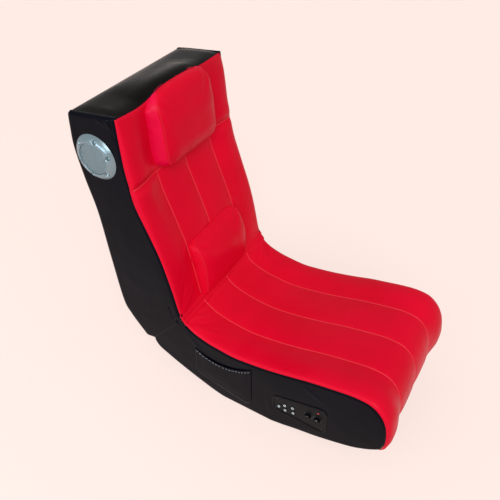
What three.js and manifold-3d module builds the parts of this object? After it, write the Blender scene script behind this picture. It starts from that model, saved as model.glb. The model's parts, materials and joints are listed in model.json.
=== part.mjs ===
// Folding floor rocker chair with a speaker on each side of its backrest.
// A seat shell with a curved underside carries a backrest that folds forward about the crease.
// Millimetres, +Z up. The chair faces -Y, so the sitter's right side is -X.
// The origin is on the floor, in the middle of the chair's own box.

import * as THREE from 'three';
import { mergeVertices } from 'three/addons/utils/BufferGeometryUtils.js';
import Module from 'manifold-3d';

const wasm = await Module();
wasm.setup();

// Driving dimensions of the whole chair
const overallWidth = 410;
const seatReach = 566; // crease to the front of the nose
const creaseHeight = 246; // floor to the crease between seat and back
const backRise = 540; // crease to the front edge of the top
const backReach = 260; // crease to the rearmost point of the back
const notchReach = 108; // crease to the lower end of the joint face, rearwards
const notchDrop = 128; // and downwards

// Upholstery
const gap = 0.3; // between neighbouring solids
const sideCoverThickness = 3;
const coverThickness = 2.5;
const seatFoam = 48;
const backFoam = 20;
const edgeFoam = 10; // over the edges of the side boards
const overrun = 40; // how far a cutting solid runs past what it cuts

// Boards of the two frames
const backBoardThickness = 9;
const deckThickness = 12;
const backPanelThickness = 3;
const crossBoardThickness = 26;
const railThickness = 12;
const rockerBoardThickness = 5; // bent between the side boards, over the underside
const deckRear = 24; // the deck starts this far in front of the crease
const deckFrontMargin = 62; // and ends this far behind the nose
const rearBoardReach = 52; // crease to the rear cross board
const middleBoardClearance = 17; // from the middle cross board to the amplifier
const deckLip = 8; // the deck ends this far in front of the front cross board
const topRailDrop = 8.3; // from the rear edge of the top to the top rail
const topRailClearance = 32.5; // from the top rail to the speakers' flanges
const middleRailRise = 268; // crease to the other rails of the back
const bottomRailRise = -52;

// Hinge
const hingeDepth = 9; // from the crease down the joint face to the pin
const strapThickness = 4;
const strapEarRadius = 8;
const strapEndRadius = 10;
const pinRadius = 3;
const pinHeadRadius = 6;
const pinHeadHeight = 2;
const hingeClearance = 6; // kept free around the straps' ears, where the foam folds
const seatStrapReach = 26;
const seatStrapDrop = 104;
const backStrapReach = 62;
const backStrapRise = 102;

// Speakers
const speakerSetbackShare = 0.738; // of backReach, from the crease to the speaker's middle
const bezelWidth = 18.5; // around the grille
const bezelFlange = 2.5; // under the screw heads
const bezelEdge = 1.2;
const bezelRimHeight = 12;
const bezelRimWidth = 2.6;
const bezelRoundness = 1.6; // exponent: larger keeps the bezel full nearer to its edge
const grilleRadius = 37.5;
const grilleSheet = 1.2;
const grilleDome = 2.4;
const screwSetback = 11; // from the bezel's edge to the middles of its screws
const driverClearance = 2.2; // from the driver's flange to the screws
const driverFlange = 1.5;
const driverLip = 4; // the flange laps onto the board by this much
const basketDepth = 26;
const magnetRadius = 24;
const magnetHeight = 14;
const coneHubRadius = 12;
const driverDepth = 44; // room behind the side cover for the driver
const speakerScrewCount = 6;
const speakerScrewPhaseShare = 0.28; // of the angle between two screws
const screwRadius = 1.8;
const screwHeadRadius = 3.4;
const screwHeadHeight = 2;
const screwWellClearance = 0.8; // around a head, in the bezel

// Control panel: shares of creaseHeight, down from the crease, place the ends of its upper edge
const panelSetback = 150; // nose to the panel's front end
const panelLength = 144;
const panelRearHeight = 50;
const panelFrontHeight = 93;
const panelTopRearShare = 0.512;
const panelTopFrontShare = 0.362;
const panelCornerRadius = 15;
const panelRecess = 0.5; // the plate's face lies this far below the side cover's
const jackRadius = 4.2;
const jackBore = 1.7;
const jackShankRadius = 3;
const jackNutRadius = 5.6;
const jackNutHeight = 1.6;
const jackHeight = 7;
const jackTail = 9;
const knobRadius = 8;
const knobHeight = 7;
const knobShaftRadius = 3;
const knobShaftLength = 12;
const knobMarkWidth = 1.4;
const knobMarkDepth = 0.8;
const knobChamfer = 1;
const lightRadius = 2.6;
const lightHeight = 1.6;
const lightTail = 6;
const lightTailRadius = 2;

// Amplifier
const housingWall = 2;
const housingDepth = 44;
const housingMargin = 6; // the housing overlaps the board's cut-out by this much
const panelLap = 9; // and the panel by this much
const circuitThickness = 1.6;
const circuitSetback = 10; // from the side board's inner face to the circuit board
const potWidth = 13;
const heatSinkWidth = 40;
const heatSinkFin = 2;
const heatSinkPitch = 6;
const heatSinkHeight = 12;

// Pillows
const headPillowWidth = 206;
const headPillowBottom = 365; // above the crease
const headPillowThickness = 40;
const lumbarPillowWidth = 210;
const lumbarPillowBottom = 12;
const lumbarPillowTop = 166;
const lumbarPillowThickness = 38;
const pillowCorner = 26;
const pillowEdge = 2; // thickness left at a sewn-down edge
const pillowSquareness = 6; // exponent: larger keeps a pillow full nearer to its sides
const headRoundStartShare = 0.62; // of the way down, where the head pillow starts to round off
const lumbarPlumpness = 0.6; // exponent: smaller is plumper

// Sewn lines of the seat and back cushions
const seamOffset = 107; // from the middle line to the one on each side
const seamReach = 46; // a line draws the cover down to this far on each side
const seamDepth = 5;
const seamStart = 20; // from the crease to the near end of each line
const seamClearance = 2; // the cutter starts this far outside the cushion

// Pocket
const pocketRear = 35; // forwards of the crease
const pocketClearance = 66; // from the pocket to the control panel
const pocketHem = 7;
const pocketSheet = 1.4;
const pocketRoom = 5.3;
const pocketCorner = 24;
const pocketMouthRearShare = 0.341; // of creaseHeight, down from the crease, as are the next four
const pocketMouthSagShare = 0.541;
const pocketMouthFrontShare = 0.268;
const pocketBottomRearShare = 0.74;
const pocketBottomFrontShare = 0.902;

// Outlines seen from the side, as shares of the sizes above.
// Seat top and nose: share of seatReach forwards, share of creaseHeight upwards.
const seatTopShares = [
  [0, 0], [0.018, -0.055], [0.058, -0.123], [0.119, -0.173], [0.181, -0.198], [0.263, -0.215],
  [0.343, -0.1975], [0.45, -0.155], [0.547, -0.1], [0.635, -0.045], [0.721, -0.003],
  [0.804, 0.033], [0.862, 0.042], [0.917, 0.018], [0.96, -0.07], [0.986, -0.19], [0.998, -0.34],
  [1, -0.46],
];
// Underside from the nose to the heel, in the same shares. It is cut flat at the floor.
const seatBottomShares = [
  [0.994, -0.55], [0.964, -0.618], [0.909, -0.705], [0.845, -0.775], [0.71, -0.873],
  [0.6, -0.93], [0.507, -0.983], [0.355, -1.04], [0.196, -0.995], [0.0768, -0.907],
  [-0.0427, -0.793], [-0.125, -0.7],
];
// The ends of the underside and of the back's rear, near the notch: shares of notchReach
// rearwards and of notchDrop upwards.
const seatHeelShares = [[0.88, -1.23], [0.985, -1.095]];
const backHeelShare = [1.213, -1.035];
// Front of the back, from the top down: share of backReach rearwards, share of backRise upwards.
const backFrontShares = [
  [0.474, 1], [0.466, 0.957], [0.453, 0.87], [0.439, 0.77], [0.414, 0.696], [0.379, 0.603],
  [0.275, 0.47], [0.169, 0.329], [0.087, 0.173], [0.036, 0.049], [0, 0],
];
// Rear of the back, from its lower end up, in the same shares.
const backRearShares = [
  [0.578, -0.2006], [0.692, -0.1246], [0.765, -0.0395], [0.825, 0.233], [0.874, 0.484],
  [0.948, 0.651], [1, 0.8], [0.996, 0.9], [0.986, 0.959],
];
const backTopRearShare = [0.964, 0.969];

// Fineness of the curves
const seatTopSteps = 34;
const seatBottomSteps = 26;
const backFrontSteps = 20;
const backRearSteps = 18;
const pillowSteps = 12;
const seamSteps = 4; // across a sewn line
const cornerSteps = 4;
const roundSteps = 24;
const bezelSteps = 4;
const smallRoundSteps = 12;
const mergeTolerance = 1e-4;

// Materials
const finishes = {
  redVinyl: { color: 0xd4142c, roughness: 0.42, metalness: 0 },
  blackVinyl: { color: 0x1b1b1f, roughness: 0.3, metalness: 0 },
  plywood: { color: 0xc19a6b, roughness: 0.8, metalness: 0 },
  steel: { color: 0x9a9ca0, roughness: 0.4, metalness: 1 },
  silverPaint: { color: 0x9fa8ac, roughness: 0.35, metalness: 0.6 },
  screwSteel: { color: 0xc6ccd0, roughness: 0.25, metalness: 1 },
  blackPlastic: { color: 0x141416, roughness: 0.45, metalness: 0 },
  socketMetal: { color: 0xd3dadc, roughness: 0.3, metalness: 0.9 },
  circuit: { color: 0x1d5b34, roughness: 0.6, metalness: 0 },
  lens: { color: 0xc8402a, roughness: 0.15, metalness: 0 },
};

// Widths derived from the layers: distances from the middle plane
const coverOuter = overallWidth / 2;
const coverInner = coverOuter - sideCoverThickness;
const boardOuter = coverInner - gap;
const backBoardInner = boardOuter - backBoardThickness;
const backStrapOuter = backBoardInner - gap;
const backStrapInner = backStrapOuter - strapThickness;
const seatBoardInner = backStrapInner;
const seatStrapOuter = seatBoardInner - gap;
const seatStrapInner = seatStrapOuter - strapThickness;

// Geometry tools. Everything is drawn in the side view: x forwards and y upwards from the crease,
// z towards the sitter's right.
const point = (x, y) => new THREE.Vector2(x, y);

function smoothPath(points, steps) {
  return new THREE.SplineCurve(points).getPoints(steps);
}

// The path cut off flat at a height
function flattened(path, floor) {
  const spots = [];
  path.forEach((spot, index) => {
    const before = path[index - 1];
    if (before && (before.y - floor) * (spot.y - floor) < 0) {
      spots.push(before.clone().lerp(spot, (floor - before.y) / (spot.y - before.y)));
    }
    if (spot.y >= floor) {
      spots.push(spot);
    }
  });
  return spots;
}

function segmentDistance(spot, start, end) {
  const along = end.clone().sub(start);
  const share = THREE.MathUtils.clamp(spot.clone().sub(start).dot(along) / along.lengthSq(), 0, 1);
  return spot.distanceTo(start.clone().addScaledVector(along, share));
}

function pathDistance(spot, path) {
  let nearest = Infinity;
  for (let index = 1; index < path.length; index += 1) {
    nearest = Math.min(nearest, segmentDistance(spot, path[index - 1], path[index]));
  }
  return nearest;
}

// At each point of a path, the way to its right, which is into the body, longer at a corner
function inwardWays(path) {
  const sharpestShare = 0.35;
  return path.map((spot, index) => {
    const before = path[Math.max(index - 1, 0)];
    const after = path[Math.min(index + 1, path.length - 1)];
    const arriving = (index > 0 ? spot.clone().sub(before) : after.clone().sub(spot)).normalize();
    const leaving = (index < path.length - 1 ? after.clone().sub(spot) : arriving.clone()).normalize();
    const middle = arriving.clone().add(leaving).normalize();
    const way = point(middle.y, -middle.x);
    return way.divideScalar(Math.max(way.dot(point(arriving.y, -arriving.x)), sharpestShare));
  });
}

// Where two segments cross, or null
function crossing(a, b, c, d) {
  const first = b.clone().sub(a);
  const second = d.clone().sub(c);
  const turn = first.cross(second);
  const between = c.clone().sub(a);
  const firstShare = between.cross(second) / turn;
  const secondShare = between.cross(first) / turn;
  const inside = firstShare > 0 && firstShare < 1 && secondShare > 0 && secondShare < 1;
  return inside ? a.clone().addScaledVector(first, firstShare) : null;
}

// The path with each small loop cut off where it crosses itself
function withoutLoops(path) {
  for (let from = 1; from < path.length; from += 1) {
    for (let to = path.length - 1; to > from + 1; to -= 1) {
      const spot = crossing(path[from - 1], path[from], path[to - 1], path[to]);
      if (spot) {
        return withoutLoops([...path.slice(0, from), spot, ...path.slice(to)]);
      }
    }
  }
  return path;
}

// The path moved into the body. Points that fold over in a tight bend are dropped.
function inset(path, depth) {
  const keepShare = 0.98;
  const ways = inwardWays(path);
  return withoutLoops(path
    .map((spot, index) => spot.clone().addScaledVector(ways[index], depth))
    .filter((spot) => pathDistance(spot, path) >= Math.abs(depth) * keepShare));
}

// The strip between two depths below a path
function band(path, outerDepth, innerDepth) {
  return [...inset(path, outerDepth), ...inset(path, innerDepth).reverse()];
}

function extruded(outline, depth) {
  return new THREE.ExtrudeGeometry(new THREE.Shape(outline), { depth, bevelEnabled: false, steps: 1 });
}

function solidOf(geometry) {
  const bare = geometry.clone();
  bare.deleteAttribute('normal');
  bare.deleteAttribute('uv');
  const merged = mergeVertices(bare, mergeTolerance);
  return new wasm.Manifold(new wasm.Mesh({
    numProp: 3,
    vertProperties: Float32Array.from(merged.attributes.position.array),
    triVerts: Uint32Array.from(merged.index.array),
  }));
}

// A side-view outline between two distances from the middle plane
function prism(outline, low, high) {
  return solidOf(extruded(outline, high - low).translate(0, 0, low));
}

// The same on one side of the chair: side is 1 for the sitter's right and -1 for the left
function sidePrism(outline, side, inner, outer) {
  return prism(outline, Math.min(side * inner, side * outer), Math.max(side * inner, side * outer));
}

// A prism through the whole width, for cutting
function cutter(outline) {
  return prism(outline, -coverOuter - overrun, coverOuter + overrun);
}

// A plan-view outline of forward and sideways distances, between two heights
function planPrism(outline, low, high) {
  return solidOf(extruded(outline, high - low).rotateX(Math.PI / 2).translate(0, high, 0));
}

// A front-view outline of sideways distances and heights, between two forward distances
function frontPrism(outline, low, high) {
  return solidOf(extruded(outline, high - low).rotateY(-Math.PI / 2).translate(high, 0, 0));
}

// A solid of revolution about an axis across the chair, on one side of it. The profile gives
// radius and distance from the middle plane, from the outer end to the inner one.
function turned(profile, centre, side, steps) {
  const spots = profile.map(([radius, across]) => point(radius, side * across));
  const ordered = side > 0 ? spots.reverse() : spots;
  const geometry = new THREE.LatheGeometry(ordered, steps).rotateX(Math.PI / 2);
  return solidOf(geometry.translate(centre.x, centre.y, 0));
}

function circle(centre, radius, steps) {
  const spots = [];
  for (let index = 0; index < steps; index += 1) {
    const angle = (2 * Math.PI * index) / steps;
    spots.push(point(centre.x + radius * Math.cos(angle), centre.y + radius * Math.sin(angle)));
  }
  return spots;
}

function box(rear, front, bottom, top) {
  return [point(rear, bottom), point(front, bottom), point(front, top), point(rear, top)];
}

// A closed outline with its corners rounded
function rounded(corners, radius) {
  const spots = [];
  corners.forEach((corner, index) => {
    const before = corners[(index + corners.length - 1) % corners.length].clone().sub(corner);
    const after = corners[(index + 1) % corners.length].clone().sub(corner);
    const halfAngle = Math.acos(before.dot(after) / (before.length() * after.length())) / 2;
    const run = Math.min(radius / Math.tan(halfAngle), before.length() / 2, after.length() / 2);
    const start = corner.clone().addScaledVector(before.normalize(), run);
    const end = corner.clone().addScaledVector(after.normalize(), run);
    spots.push(...new THREE.QuadraticBezierCurve(start, corner, end).getPoints(cornerSteps));
  });
  return spots;
}

// The outline of a strap with a round end at each of two points
function strapOutline(from, to, fromRadius, toRadius) {
  const heading = to.clone().sub(from).angle();
  const spots = [];
  for (let index = 0; index <= smallRoundSteps; index += 1) {
    const angle = heading + Math.PI / 2 + (Math.PI * index) / smallRoundSteps;
    spots.push(from.clone().add(point(fromRadius * Math.cos(angle), fromRadius * Math.sin(angle))));
  }
  for (let index = 0; index <= smallRoundSteps; index += 1) {
    const angle = heading - Math.PI / 2 + (Math.PI * index) / smallRoundSteps;
    spots.push(to.clone().add(point(toRadius * Math.cos(angle), toRadius * Math.sin(angle))));
  }
  return spots;
}

// The point of a path at a height, on a path that runs down
function pathAt(path, height) {
  for (let index = 1; index < path.length; index += 1) {
    const [upper, lower] = [path[index - 1], path[index]];
    if (upper.y >= height && lower.y <= height) {
      return upper.clone().lerp(lower, (upper.y - height) / (upper.y - lower.y));
    }
  }
  return path[height > path[0].y ? 0 : path.length - 1].clone();
}

// How full a pillow is at a share of its half width: full over the middle, down at its sides
const crownAt = (sideShare) => Math.sqrt(1 - Math.min(1, Math.abs(sideShare)) ** pillowSquareness);

// A pillow that lies on a path between two heights. swell gives the share of its full thickness
// at each share of the way down.
function pillow(path, width, bottom, top, thickness, swell) {
  const bed = [];
  for (let index = 0; index <= pillowSteps; index += 1) {
    bed.push(pathAt(path, THREE.MathUtils.lerp(top, bottom, index / pillowSteps)));
  }
  const ways = inwardWays(bed);
  const geometry = new THREE.BoxGeometry(1, 1, 1, pillowSteps, pillowSteps, 1);
  const places = geometry.attributes.position;
  for (let index = 0; index < places.count; index += 1) {
    const acrossShare = places.getX(index);
    const downShare = 1 / 2 - places.getY(index);
    const step = Math.round(downShare * pillowSteps);
    const fullness = swell(downShare) * crownAt(acrossShare * 2);
    const rise = places.getZ(index) > 0 ? pillowEdge + (thickness - pillowEdge) * fullness : 0;
    const spot = bed[step].clone().addScaledVector(ways[step], -gap - rise);
    places.setXYZ(index, spot.x, spot.y, -acrossShare * width);
  }
  return solidOf(geometry);
}

// A cutter for a sewn line along a path: deepest at the line, and fading out to both sides so that
// the channels between the lines are left crowned
function seamCutter(path, across) {
  const ways = inwardWays(path);
  const last = path.length - 1;
  const geometry = new THREE.BoxGeometry(1, 1, 1, seamSteps, last, 1);
  const places = geometry.attributes.position;
  for (let index = 0; index < places.count; index += 1) {
    const sideShare = places.getX(index) * 2;
    const step = Math.round((1 / 2 - places.getY(index)) * last);
    const below = seamDepth * (1 - Math.abs(sideShare)) ** 2;
    const depth = places.getZ(index) > 0 ? -seamClearance : below;
    const spot = path[step].clone().addScaledVector(ways[step], depth);
    places.setXYZ(index, spot.x, spot.y, across - sideShare * seamReach);
  }
  return solidOf(geometry);
}

function geometryOf(solid) {
  const { vertProperties, triVerts } = solid.getMesh();
  const indexed = new THREE.BufferGeometry();
  indexed.setAttribute('position', new THREE.BufferAttribute(Float32Array.from(vertProperties), 3));
  indexed.setIndex(new THREE.BufferAttribute(Uint32Array.from(triVerts), 1));
  const flat = indexed.toNonIndexed();
  flat.computeVertexNormals();
  return flat;
}

// Outlines
const crease = point(0, 0);
const notch = point(-notchReach, -notchDrop);
const pin = notch.clone().setLength(hingeDepth);
const hingeRelief = strapEarRadius + hingeClearance;
const seatSpot = ([forward, up]) => point(forward * seatReach, up * creaseHeight);
const heelSpot = ([rearward, up]) => point(-rearward * notchReach, up * notchDrop);
const seatTop = smoothPath(seatTopShares.map(seatSpot), seatTopSteps);
const seatBottom = flattened(smoothPath(
  [...seatBottomShares.map(seatSpot), ...seatHeelShares.map(heelSpot)],
  seatBottomSteps,
), -creaseHeight);
const seatSplit = inset([notch, crease], gap / 2);
const seatOutline = [...seatTop.slice(1), ...seatBottom, ...seatSplit];
const seatCoverPath = [seatTop[seatTop.length - 1], ...seatBottom, ...seatSplit];

const backSpot = ([rearward, up]) => point(-rearward * backReach, up * backRise);
const backFront = smoothPath(backFrontShares.map(backSpot), backFrontSteps);
const backRear = smoothPath(
  [heelSpot(backHeelShare), ...backRearShares.map(backSpot)],
  backRearSteps,
);
const backSplit = inset([crease, notch], gap / 2);
const backTopRear = backSpot(backTopRearShare);
const backTopFront = backFront[0];
const backOutline = [...backFront.slice(0, -1), ...backSplit, ...backRear, backTopRear];
const backCoverPath = [...backSplit, ...backRear, backTopRear];

const relief = cutter(circle(pin, hingeRelief, roundSteps));
const seatLining = cutter(band(seatCoverPath, -overrun, coverThickness + gap));
const seatInside = (low, high) => prism(seatOutline, low, high).subtract(seatLining);

// The bulge of the top cover follows the head pillow that it closes.
const topSlope = backTopFront.clone().sub(backTopRear).normalize();
const bulgeTip = backTopFront.clone().addScaledVector(topSlope, headPillowThickness + gap);
const backTopPath = [backTopRear, bulgeTip];
const topLining = cutter(band(backTopPath, -overrun, coverThickness + gap));
const backLining = cutter(band(backCoverPath, -overrun, coverThickness + gap)).add(topLining);
const backInside = (low, high) => prism(backOutline, low, high).subtract(backLining);

const seamPlaces = [-seamOffset, 0, seamOffset];
const foamZone = (path, foam) => cutter(band(path, -overrun, foam)).add(
  cutter(circle(crease, foam, roundSteps)),
);

// The chair is drawn in the side view and turned upright here.
const chair = new THREE.Group();
const sideView = new THREE.Group();
const upright = new THREE.Matrix4().makeBasis(
  new THREE.Vector3(0, -1, 0),
  new THREE.Vector3(0, 0, 1),
  new THREE.Vector3(-1, 0, 0),
);
sideView.quaternion.setFromRotationMatrix(upright);
const foremost = Math.max(...seatOutline.map((spot) => spot.x));
const rearmost = Math.min(...backOutline.map((spot) => spot.x));
sideView.position.set(0, (foremost + rearmost) / 2, creaseHeight);
chair.add(sideView);

function add(name, solid, finish) {
  const mesh = new THREE.Mesh(geometryOf(solid), new THREE.MeshStandardMaterial(finishes[finish]));
  mesh.name = name;
  sideView.add(mesh);
}

const sides = [['right', 1], ['left', -1]];

// Hinge: two straps that lie on the boards' inner faces and turn on one pin
const seatStrapEnd = pin.clone().add(point(seatStrapReach, -seatStrapDrop));
const backStrapEnd = pin.clone().add(point(-backStrapReach, backStrapRise));
const strapWith = (end, extra) => strapOutline(
  pin, end, strapEarRadius + extra, strapEndRadius + extra,
);
const pinBore = cutter(circle(pin, pinRadius + gap, smallRoundSteps));

function strapRoom(side, end, inner, outer) {
  return sidePrism(strapWith(end, gap), side, inner - gap, outer + gap);
}

function addHinge(sideName, side) {
  const seatStrap = sidePrism(strapWith(seatStrapEnd, 0), side, seatStrapInner, seatStrapOuter);
  add(`seat_hinge_strap_${sideName}`, seatStrap.subtract(pinBore), 'steel');
  const backStrap = sidePrism(strapWith(backStrapEnd, 0), side, backStrapInner, backStrapOuter);
  add(`back_hinge_strap_${sideName}`, backStrap.subtract(pinBore), 'steel');
  const outerFace = backStrapOuter + gap;
  const innerFace = seatStrapInner - gap;
  const profile = [
    [0, outerFace + pinHeadHeight],
    [pinHeadRadius, outerFace + pinHeadHeight],
    [pinHeadRadius, outerFace],
    [pinRadius, outerFace],
    [pinRadius, innerFace],
    [pinHeadRadius, innerFace],
    [pinHeadRadius, innerFace - pinHeadHeight],
    [0, innerFace - pinHeadHeight],
  ];
  add(`hinge_pin_${sideName}`, turned(profile, pin, side, smallRoundSteps), 'steel');
}

// Control panel places: shares along the panel and down it
const panelFront = seatReach - panelSetback;
const panelRear = panelFront - panelLength;
const panelTopRear = panelTopRearShare * creaseHeight;
const panelTopFront = panelTopFrontShare * creaseHeight;
const panelBottomRear = panelTopRear + panelRearHeight;
const panelBottomFront = panelTopFront + panelFrontHeight;
const panelAt = (alongShare, downShare) => {
  const top = THREE.MathUtils.lerp(panelTopRear, panelTopFront, alongShare);
  const bottom = THREE.MathUtils.lerp(panelBottomRear, panelBottomFront, alongShare);
  return point(
    THREE.MathUtils.lerp(panelRear, panelFront, alongShare),
    -THREE.MathUtils.lerp(top, bottom, downShare),
  );
};
const panelCorners = [panelAt(0, 0), panelAt(1, 0), panelAt(1, 1), panelAt(0, 1)];
const audioJackShares = [[0.229, 0.432], [0.243, 0.734], [0.382, 0.405], [0.4, 0.686]];
const powerJackShare = [0.118, 0.641];
const volumeKnobShare = [0.677, 0.489];
const bassKnobShare = [0.851, 0.509];
const powerLightShare = [0.854, 0.195];

const panelOuter = coverOuter - panelRecess;
const panelInner = boardOuter + gap;

// The panel's outline moved in by a lap, with square corners
const panelRing = (lap) => [
  point(panelRear + lap, -panelTopRear - lap),
  point(panelFront - lap, -panelTopFront - lap),
  point(panelFront - lap, -panelBottomFront + lap),
  point(panelRear + lap, -panelBottomRear + lap),
];

function addPanel() {
  const radius = panelCornerRadius;
  let plate = sidePrism(rounded(panelCorners, radius), 1, panelInner, panelOuter);
  const bore = (share, size) => cutter(circle(panelAt(...share), size + gap, smallRoundSteps));
  for (const share of [powerJackShare, ...audioJackShares]) {
    plate = plate.subtract(bore(share, jackShankRadius));
  }
  for (const share of [volumeKnobShare, bassKnobShare]) {
    plate = plate.subtract(bore(share, knobShaftRadius));
  }
  plate = plate.subtract(bore(powerLightShare, lightTailRadius));
  add('control_panel', plate, 'blackPlastic');

  addJack('power_socket', powerJackShare);
  audioJackShares.forEach((share, index) => addJack(`audio_socket_${index + 1}`, share));
  addKnob('volume_knob', volumeKnobShare);
  addKnob('bass_knob', bassKnobShare);

  const face = panelOuter + gap;
  const lightProfile = [
    [0, face + lightHeight],
    [lightRadius, face + lightHeight / 2],
    [lightRadius, face],
    [lightTailRadius, face],
    [lightTailRadius, face - lightTail],
    [0, face - lightTail],
  ];
  add('power_light', turned(lightProfile, panelAt(...powerLightShare), 1, smallRoundSteps), 'lens');
}

function addJack(name, share) {
  const face = panelOuter + gap;
  const behind = panelInner - gap;
  const profile = [
    [0, face],
    [jackBore, face],
    [jackBore, face + jackHeight],
    [jackRadius, face + jackHeight],
    [jackRadius, face + jackNutHeight],
    [jackNutRadius, face + jackNutHeight],
    [jackNutRadius, face],
    [jackShankRadius, face],
    [jackShankRadius, behind],
    [jackRadius, behind],
    [jackRadius, behind - jackTail],
    [0, behind - jackTail],
  ];
  add(name, turned(profile, panelAt(...share), 1, smallRoundSteps), 'socketMetal');
}

function addKnob(name, share) {
  const face = panelOuter + gap;
  const centre = panelAt(...share);
  const profile = [
    [0, face + knobHeight],
    [knobRadius - knobChamfer, face + knobHeight],
    [knobRadius, face + knobHeight - knobChamfer],
    [knobRadius, face],
    [knobShaftRadius, face],
    [knobShaftRadius, face - knobShaftLength],
    [0, face - knobShaftLength],
  ];
  const knob = turned(profile, centre, 1, roundSteps);
  const mark = box(
    centre.x - knobMarkWidth / 2,
    centre.x + knobMarkWidth / 2,
    centre.y + knobRadius / 3,
    centre.y + knobRadius + overrun,
  );
  const markFloor = face + knobHeight - knobMarkDepth;
  add(name, knob.subtract(sidePrism(mark, 1, markFloor, coverOuter + overrun)), 'blackPlastic');
}

function addAmplifier() {
  const open = seatBoardInner - gap;
  const lap = panelLap - housingMargin;
  const inside = panelRing(lap + housingWall);
  const housing = sidePrism(panelRing(lap), 1, open - housingDepth, open).subtract(
    sidePrism(inside, 1, open - housingDepth + housingWall, open + overrun),
  );
  add('amplifier_housing', housing, 'blackPlastic');

  const card = panelRing(lap + housingWall + gap);
  const cardOuter = seatBoardInner - circuitSetback;
  const cardInner = cardOuter - circuitThickness;
  let circuit = sidePrism(card, 1, cardInner, cardOuter);
  const knobEnd = panelOuter + gap - knobShaftLength;
  for (const share of [volumeKnobShare, bassKnobShare]) {
    const centre = panelAt(...share);
    const half = potWidth / 2;
    const pot = box(centre.x - half, centre.x + half, centre.y - half, centre.y + half);
    circuit = circuit.add(sidePrism(pot, 1, cardInner, knobEnd - gap));
  }
  const [cutoutRearTop, , , cutoutRearBottom] = panelRing(panelLap);
  const sinkMiddle = (panelRear + panelFront) / 2;
  const finCount = Math.floor(heatSinkWidth / heatSinkPitch);
  for (let index = 0; index < finCount; index += 1) {
    const finRear = sinkMiddle - heatSinkWidth / 2 + index * heatSinkPitch;
    const fin = box(finRear, finRear + heatSinkFin, cutoutRearBottom.y, cutoutRearTop.y);
    circuit = circuit.add(sidePrism(fin, 1, cardInner - heatSinkHeight, cardOuter));
  }
  circuit = circuit.intersect(sidePrism(card, 1, open - housingDepth, coverOuter));
  add('amplifier_board', circuit, 'circuit');
}

// Pocket: a sheet that stands off the side cover, hemmed down at its ends and bottom
function addPocket() {
  const pocketFront = panelRear - pocketClearance;
  const sag = -pocketMouthSagShare * creaseHeight;
  const bottomRear = -pocketBottomRearShare * creaseHeight;
  const bottomFront = -pocketBottomFrontShare * creaseHeight;
  const corners = rounded([
    point(pocketFront, sag),
    point(pocketFront, bottomFront),
    point(pocketRear, bottomRear),
    point(pocketRear, sag),
  ], pocketCorner);
  const lowerCorners = corners.slice(cornerSteps + 1, -cornerSteps - 1);
  const mouth = new THREE.QuadraticBezierCurve(
    point(pocketRear, -pocketMouthRearShare * creaseHeight),
    point((pocketRear + pocketFront) / 2, sag),
    point(pocketFront, -pocketMouthFrontShare * creaseHeight),
  ).getPoints(pillowSteps);
  const outline = [...mouth, ...lowerCorners];
  const roomRear = pocketRear + pocketHem;
  const roomFront = pocketFront - pocketHem;
  const roomCorners = rounded([
    point(roomFront, sag),
    point(roomFront, bottomFront + pocketHem),
    point(roomRear, bottomRear + pocketHem),
    point(roomRear, sag),
  ], pocketCorner).slice(cornerSteps + 1, -cornerSteps - 1);
  const room = [point(roomRear, overrun), point(roomFront, overrun), ...roomCorners];
  const face = coverOuter + gap;
  const pouch = sidePrism(outline, 1, face, face + pocketRoom + pocketSheet);
  add('side_pocket', pouch.subtract(sidePrism(room, 1, face - overrun, face + pocketRoom)), 'blackVinyl');
}

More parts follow.
